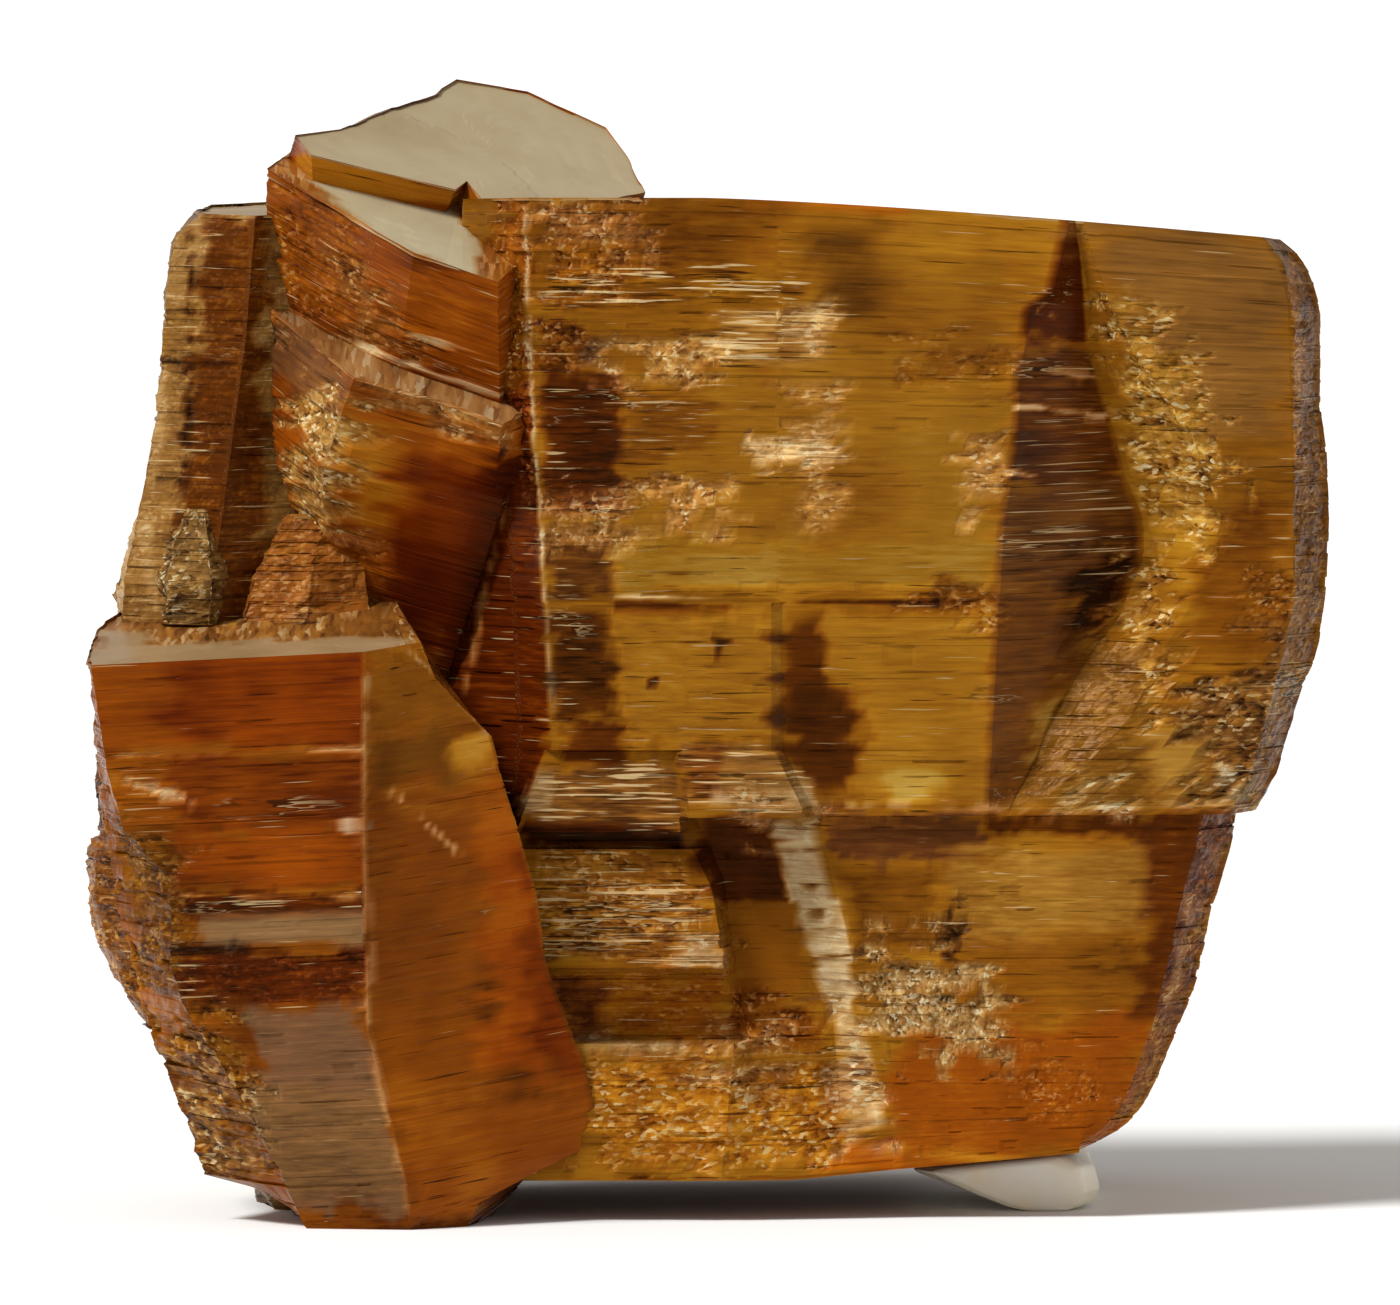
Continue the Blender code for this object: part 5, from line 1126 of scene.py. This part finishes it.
def layered_place(tree, round_scale, layer_scale, shift=0.0):
    """A place in the layered pattern: turns a mm round the crystal, then turns a mm up it."""
    way = look_of(tree, "round") * round_scale + shift
    height = look_of(tree, "layer") * layer_scale + shift
    return given(tree, "ShaderNodeCombineXYZ", {"X": way, "Y": height})


def streaks(tree, round_scale, layer_scale, detail, shift=0.0):
    """Noise stretched along the layers: its grain is fine up the crystal and long round it."""
    at = layered_place(tree, round_scale, layer_scale, shift)
    grain = {"Vector": at, "Scale": 1.0, "Detail": detail, "Roughness": 0.6}
    return given(tree, "ShaderNodeTexNoise", grain, "Fac", noise_dimensions="2D")


def clouds(tree, scale, detail):
    """Noise in the object's own space, in turns a metre."""
    at = given(tree, "ShaderNodeTexCoord", output="Object")
    return given(tree, "ShaderNodeTexNoise", {"Vector": at, "Scale": scale, "Detail": detail}, "Fac")


def splinters(tree, round_scale, layer_scale, bend):
    """Three random values for each flat splinter of torn mica, long along the layers and bent by noise."""
    bent = vector("ADD", layered_place(tree, round_scale, layer_scale), {1: bend})
    cells = {"Vector": bent, "Scale": 1.0}
    return given(tree, "ShaderNodeTexVoronoi", cells, "Color", voronoi_dimensions="2D")


def between(value, start, end):
    """0 before start, 1 after end, and a straight slope between them."""
    return given(value.tree, "ShaderNodeMapRange", {"Value": value, "From Min": start, "From Max": end})


def near(value, middle, half_width):
    """1 near a middle value, falling to 0 at half a width from it. On noise it draws contour lines."""
    return between((value - middle).size(), half_width, 0.5 * half_width)


def swing(value, amount):
    """A noise moved to swing about 0, by an amount that may itself be a value."""
    return (value - 0.5) * amount


def seen(red, green, blue):
    """A colour as a screen shows it, from 0 to 255, as the linear values that a shader takes."""
    share = np.array([red, green, blue]) / 255
    linear = np.where(share <= 0.04045, share / 12.92, ((share + 0.055) / 1.055) ** 2.4)
    return (*linear.tolist(), 1.0)


def ramp(value, stops):
    """A colour read from stops along a value from 0 to 1."""
    made = node(value.tree, "ShaderNodeValToRGB", {"Fac": value})
    elements = made.color_ramp.elements
    while len(elements) < len(stops):
        elements.new(0.5)
    for element, (place, colour) in zip(elements, stops):
        element.position = place
        element.color = seen(*colour)
    return Value(made.outputs["Color"])


def mix(share, first, second):
    """Two colours mixed by a share."""
    made = node(share.tree, "ShaderNodeMix", data_type="RGBA")
    for name, value in (("Factor", share), ("A", first), ("B", second)):
        plug(value, next(socket for socket in made.inputs if socket.name == name and socket.enabled))
    return Value(next(socket for socket in made.outputs if socket.enabled))


def new_material(name):
    """A material, its node tree, and a way to set its shader's sockets."""
    made = bpy.data.materials.new(name)
    made.use_nodes = True
    shader = made.node_tree.nodes["Principled BSDF"]

    def dress(sockets):
        for label, value in sockets.items():
            plug(value, shader.inputs[label])

    return made, made.node_tree, dress


# Colours from dark to bright, as a screen shows them.
GOLD = (
    (0.0, (36, 16, 4)), (0.25, (96, 54, 9)), (0.5, (152, 98, 20)), (0.75, (200, 144, 36)),
    (1.0, (240, 194, 86)),
)
ORANGE = (
    (0.0, (36, 8, 2)), (0.25, (100, 32, 4)), (0.5, (168, 72, 6)), (0.75, (220, 122, 20)),
    (1.0, (246, 180, 72)),
)
OLIVE_PEARL = ((0.0, (62, 46, 26)), (0.5, (158, 132, 84)), (1.0, (238, 226, 190)))
ROSE_PEARL = ((0.0, (52, 32, 22)), (0.5, (148, 106, 78)), (1.0, (240, 212, 176)))
CREAM = ((0.35, (254, 240, 206)), (0.65, (255, 252, 240)))
# Painted highlight on bright layer edges and crack lines, and painted shade in dark ones.
SPARK = seen(240, 208, 150)
SHADE = seen(34, 12, 4)
MICA_IOR = 1.58
MICA_GLOSS = 0.15
DENSE_SHADE = 0.69
CLEAR_LIFT = 0.85
GLOSS_TINT = (0.36, 0.20, 0.08, 1.0)
AMBER_TINT = (0.90, 0.58, 0.12, 1.0)
AMBER_DENSITY = 60.0
CALCITE_IOR = 1.6

# Patterns along the layers: turns a mm round the crystal and up it, detail, and a shift that sets them apart.
GRAIN = (0.16, 5.0, 3.0)
SHORT_GRAIN = (0.8, 6.0, 2.0, 31.0)
LAYER_EDGES = (0.30, 8.0, 2.0, 3.0)
WINDING = (0.30, 2.4, 3.0, 41.0)
CRACKED_PATCHES = (0.13, 0.45, 1.0, 57.0)
TORN_FOIL = (1.5, 2.3, 4.0, 5.0)
TORN_PATCHES = (0.7, 0.9, 1.0, 73.0)
SPLINTER_SIZE = (7.5, 10.5)
SPLINTER_BEND = 3.0
# Clouds and grains in the object's own space: turns a metre, and detail.
MICA_CLOUDS = (330.0, 2.0)
CALCITE_CLOUDS = (500.0, 4.0)
CALCITE_GRAIN = (2200.0, 4.0)


def torn_bits(tree):
    """Torn mica: the painted light and shade of its crumpled foil, the random values of its splinters,
    and its patches.
    """
    foil = streaks(tree, *TORN_FOIL)
    bits = splinters(tree, *SPLINTER_SIZE, swing(foil, SPLINTER_BEND))
    return foil, bits, between(streaks(tree, *TORN_PATCHES), 0.34, 0.58)


def edge_lines(tree, glint):
    """Two shares, painted shade and painted highlight: on layer edges, which glint makes more of, and on the
    dark and bright sides of winding crack lines in patches.
    """
    edges = streaks(tree, *LAYER_EDGES)
    dark = between(glint * 0.12 + 0.26 - edges, 0.0, 0.06)
    bright = between(edges - (glint * -0.24 + 0.80), 0.0, 0.05) * (glint * 0.55 + 0.35)
    winding = streaks(tree, *WINDING)
    patch = between(streaks(tree, *CRACKED_PATCHES) + glint * 0.28, 0.80, 0.92)
    crack_glints = near(winding, 0.53, 0.022) * patch
    crack_shade = near(winding, 0.49, 0.034) * patch
    return dark.larger(crack_shade), bright.larger(crack_glints * 0.5)


def mica_colour(tree, grain, foil, bits, broken):
    """Gold or orange, paler where pearly with a painted sheen, with painted highlights and shade along layer
    edges, and splinters where torn.
    """
    glow, red, pearl, glint = (look_of(tree, name) for name in ("glow", "red", "pearl", "glint"))
    whole = 1 - pearl
    lines = (swing(grain, 0.42) + swing(streaks(tree, *SHORT_GRAIN), 0.62)) * (glint * 0.95 + 0.12)
    chance = given(tree, "ShaderNodeSeparateColor", {"Color": bits})
    # Sparks are painted highlights on some splinters, and pits painted shade on others.
    sparks = between(chance, 0.74, 0.90) * broken
    pits = between(chance, 0.20, 0.08) * broken
    glow = glow + lines + swing(clouds(tree, *MICA_CLOUDS), pearl * -0.25 + 0.42)
    # Torn mica swings brighter and darker with its crumpled foil, as painted light and shade.
    glow = glow + sparks * 0.50 + pits * -0.34 + swing(foil, broken * 1.5)
    pearl = given(tree, "ShaderNodeClamp", {"Value": pearl + sparks * 0.55})
    colour = mix(red, ramp(glow, GOLD), ramp(glow, ORANGE))
    colour = mix(pearl, colour, mix(red, ramp(glow, OLIVE_PEARL), ramp(glow, ROSE_PEARL)))
    dark, bright = edge_lines(tree, glint)
    colour = mix(dark * (whole * 0.85), colour, SHADE)
    colour = mix(bright * (whole * 0.7 + 0.3), colour, SPARK)
    return vector("SCALE", colour, {"Scale": look_of(tree, "clear") * CLEAR_LIFT + DENSE_SHADE})


def mica_material():
    """Amber mica: see-through where it is clear, vitreous on whole faces, satin where it is pearly."""
    made, tree, dress = new_material("amber_mica")
    grain = streaks(tree, *GRAIN)
    foil, bits, patches = torn_bits(tree)
    pearl = look_of(tree, "pearl")
    broken = look_of(tree, "broken") * (patches * 0.6 + 0.4)
    bump = given(tree, "ShaderNodeBump", {"Strength": 0.35, "Distance": 0.00005, "Height": grain}, "Normal")
    tilt = vector("SCALE", vector("SUBTRACT", bits, {1: (0.5, 0.5, 0.5)}), {"Scale": broken * 0.9})
    dress({
        "Base Color": mica_colour(tree, grain, foil, bits, broken),
        "Roughness": grain * 0.20 + 0.08 + pearl * 0.16 + broken * 0.40,
        "Transmission Weight": look_of(tree, "clear") * (1 - pearl) * (broken * -0.6 + 1.0),
        "IOR": MICA_IOR,
        "Specular IOR Level": MICA_GLOSS,
        "Specular Tint": GLOSS_TINT,
        "Normal": vector("NORMALIZE", vector("ADD", bump, {1: tilt})),
    })
    depth = node(tree, "ShaderNodeVolumeAbsorption", {"Color": AMBER_TINT, "Density": AMBER_DENSITY})
    tree.links.new(depth.outputs[0], tree.nodes["Material Output"].inputs["Volume"])
    return made


def calcite_material():
    """Cream calcite with soft clouds and a fine grain. A little light passes through it."""
    made, tree, dress = new_material("cream_calcite")
    grain = {"Strength": 0.4, "Distance": 0.00004, "Height": clouds(tree, *CALCITE_GRAIN)}
    dress({
        "Base Color": ramp(clouds(tree, *CALCITE_CLOUDS), CREAM),
        "Roughness": 0.42,
        "Transmission Weight": 0.2,
        "IOR": CALCITE_IOR,
        "Normal": given(tree, "ShaderNodeBump", grain, "Normal"),
    })
    return made


def crystals(mica):
    """Every crystal as one closed piece. Its numbers are the mean thickness of its layers and a seed."""
    stack = turned_about(STACK_CORNER, STACK_LEAN_DEG, STACK_ROLL_DEG)
    front = turned_about(FRONT_PIVOT, FRONT_LEAN_DEG, FRONT_ROLL_DEG, FRONT_PIVOT[:2])
    rear = turned_about(REAR_PIVOT, REAR_LEAN_DEG, REAR_ROLL_DEG, REAR_PIVOT[:2])
    books = (
        ("main_crystal", MAIN_CORNERS, (MAIN_BASE, MAIN_TOP), MAIN_LEDGES, 0.195, settle_main,
         MAIN_ZONES, MAIN_PLAIN, MAIN_ENDS, 101),
        ("front_crystal", FRONT_CORNERS, (FRONT_BASE, FRONT_TOP), FRONT_LEDGES, 0.16, front,
         FRONT_ZONES, FRONT_PLAIN, FRONT_ENDS, 202),
        ("low_stair", LOW_STAIR_CORNERS, (LOW_STAIR_BASE, LOW_STAIR), LOW_STAIR_LEDGES, 0.15, stack,
         STACK_ZONES, STACK_PLAIN, LOW_ENDS, 303),
        ("middle_stair", MIDDLE_STAIR_CORNERS, (MIDDLE_STAIR_BASE, MIDDLE_STAIR), MIDDLE_STAIR_LEDGES, 0.13,
         stack, MIDDLE_ZONES, STACK_PLAIN, MIDDLE_ENDS, 404),
        ("high_stair", HIGH_STAIR_CORNERS, (HIGH_STAIR_BASE, HIGH_STAIR), HIGH_STAIR_LEDGES, 0.12, stack,
         HIGH_ZONES, STACK_PLAIN, HIGH_ENDS, 505),
        ("back_column", COLUMN_CORNERS, (COLUMN_BASE, COLUMN_TOP), COLUMN_LEDGES, 0.19, as_drawn,
         COLUMN_ZONES, COLUMN_PLAIN, COLUMN_ENDS, 606),
        ("broken_rim", RIM_CORNERS, (RIM_BASE, RIM_TOP), RIM_LEDGES, 0.14, as_drawn,
         (), RIM_PLAIN, RIM_ENDS, 707),
        ("broken_mound", MOUND_CORNERS, (MOUND_BASE, MOUND_TOP), MOUND_LEDGES, 0.13, as_drawn,
         (), MOUND_PLAIN, RIM_ENDS, 808),
        ("pale_lump", LUMP_CORNERS, (LUMP_BASE, LUMP_TOP), LUMP_LEDGES, 0.12, as_drawn,
         (), LUMP_PLAIN, COLUMN_ENDS, 909),
        ("rear_crystal", REAR_CORNERS, (REAR_BASE, REAR_TOP), REAR_LEDGES, 0.18, rear,
         (), MAIN_PLAIN, MAIN_ENDS, 111),
    )
    return [book(*settings, mica) for settings in books]


def sliver(material):
    """The calcite sliver: its outline carried back along y and drawn in at both ends by a quarter circle."""
    outline = np.array([*CHIP_OUTLINE, CHIP_OUTLINE[0]])
    at = np.linspace(0, len(CHIP_OUTLINE), CHIP_COLUMNS, endpoint=False)
    rim = np.stack([np.interp(at, np.arange(len(outline)), outline[:, axis]) for axis in (0, 1)], axis=-1)
    for _ in range(3):
        rim = (np.roll(rim, 1, axis=0) + 2 * rim + np.roll(rim, -1, axis=0)) / 4
    ys, shares = np.array(CHIP_SECTIONS).T
    end = CHIP_END * (1 - np.cos(np.linspace(0, math.pi / 2, 8)))
    middle = np.linspace(ys[0] + CHIP_BODY_FROM, ys[-1] - CHIP_BODY_FROM, CHIP_ROWS)
    y = np.concatenate([ys[0] + end, middle, ys[-1] - end[::-1]])
    drawn_in = np.interp(np.minimum(y - ys[0], ys[-1] - y), [0, CHIP_END], [0, 1])
    drawn_in = CHIP_END_SHARE + (1 - CHIP_END_SHARE) * np.sqrt(1 - (1 - drawn_in) ** 2)
    width = (np.interp(y, ys, shares) * drawn_in)[:, None]
    middle_z = rim[:, 1].mean()
    x = CHIP_MIDDLE + (rim[None, :, 0] - CHIP_MIDDLE) * width
    z = middle_z + (rim[None, :, 1] - middle_z) * drawn_in[:, None]
    grid = np.stack([x, np.broadcast_to(y[:, None], x.shape), z], axis=-1)
    grid[..., 0] += CHIP_WAVES * (value_noise(grid, (0.8, 0.8, 0.8), 5) - 0.5)
    points = np.concatenate([grid.reshape(-1, 3), [grid[0].mean(axis=0)], [grid[-1].mean(axis=0)]])
    return add_piece("calcite_sliver", points, grid.shape[:2], {}, material)


def aimed(data, name, place, target):
    """An object of a lamp or camera that looks from a place to a target, both in metres."""
    made = linked(bpy.data.objects.new(name, data))
    made.location = place
    made.rotation_mode = "QUATERNION"
    made.rotation_quaternion = (Vector(target) - Vector(place)).to_track_quat("-Z", "Y")
    return made


SKY_COLOUR = (1.0, 0.985, 0.96, 1.0)
SKY_STRENGTH = 0.45
FLOOR_COLOUR = (0.9, 0.9, 0.89, 1.0)
FLOOR_REACH = 2.8
SUN_STRENGTH = 3.5
SUN_ANGLE_DEG = 16.0
SUN_PLACE = (-0.38, -0.30, 0.58)


def studio():
    """A pale floor under an even white sky, and a soft sun from the upper left."""
    world = bpy.data.worlds.new("studio")
    bpy.context.scene.world = world
    world.use_nodes = True
    sky = world.node_tree.nodes["Background"].inputs
    sky["Color"].default_value = SKY_COLOUR
    sky["Strength"].default_value = SKY_STRENGTH
    mesh = bpy.data.meshes.new("floor")
    reach = FLOOR_REACH
    corners = [(-reach, -reach, 0), (reach, -reach, 0), (reach, reach, 0), (-reach, reach, 0)]
    mesh.from_pydata(corners, [], [(0, 1, 2, 3)])
    pale, _, dress = new_material("pale_floor")
    dress({"Base Color": FLOOR_COLOUR, "Roughness": 0.9})
    mesh.materials.append(pale)
    floor = linked(bpy.data.objects.new("floor", mesh))
    sun = bpy.data.lights.new("soft_sun", "SUN")
    sun.energy = SUN_STRENGTH
    sun.angle = math.radians(SUN_ANGLE_DEG)
    aimed(sun, "soft_sun", SUN_PLACE, (0.0, 0.0, 0.0))


def camera():
    """A long lens at the photo's angle, whose frame is as wide as the photo's at the front of the cluster."""
    data = bpy.data.cameras.new("camera")
    data.sensor_width = SENSOR_MM
    data.lens = VIEW_LENS_MM
    data.clip_start = 0.01
    data.clip_end = 20.0
    distance = VIEW_WIDTH * VIEW_LENS_MM / SENSOR_MM - VIEW_FRONT_Y
    rise = math.radians(VIEW_RISE_DEG)
    target = Vector(VIEW_TARGET)
    place = target + Vector((0, -math.cos(rise), math.sin(rise))) * distance
    bpy.context.scene.camera = aimed(data, "camera", place * MM, target * MM)


def main():
    camera()
    studio()
    for piece in crystals(mica_material()):
        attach(piece, BODY)
        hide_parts("phlogopite_crystal")
    chip = sliver(calcite_material())
    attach(chip, BODY)
    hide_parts("calcite_chip")
    bpy.context.scene.view_settings.view_transform = "Standard"


main()
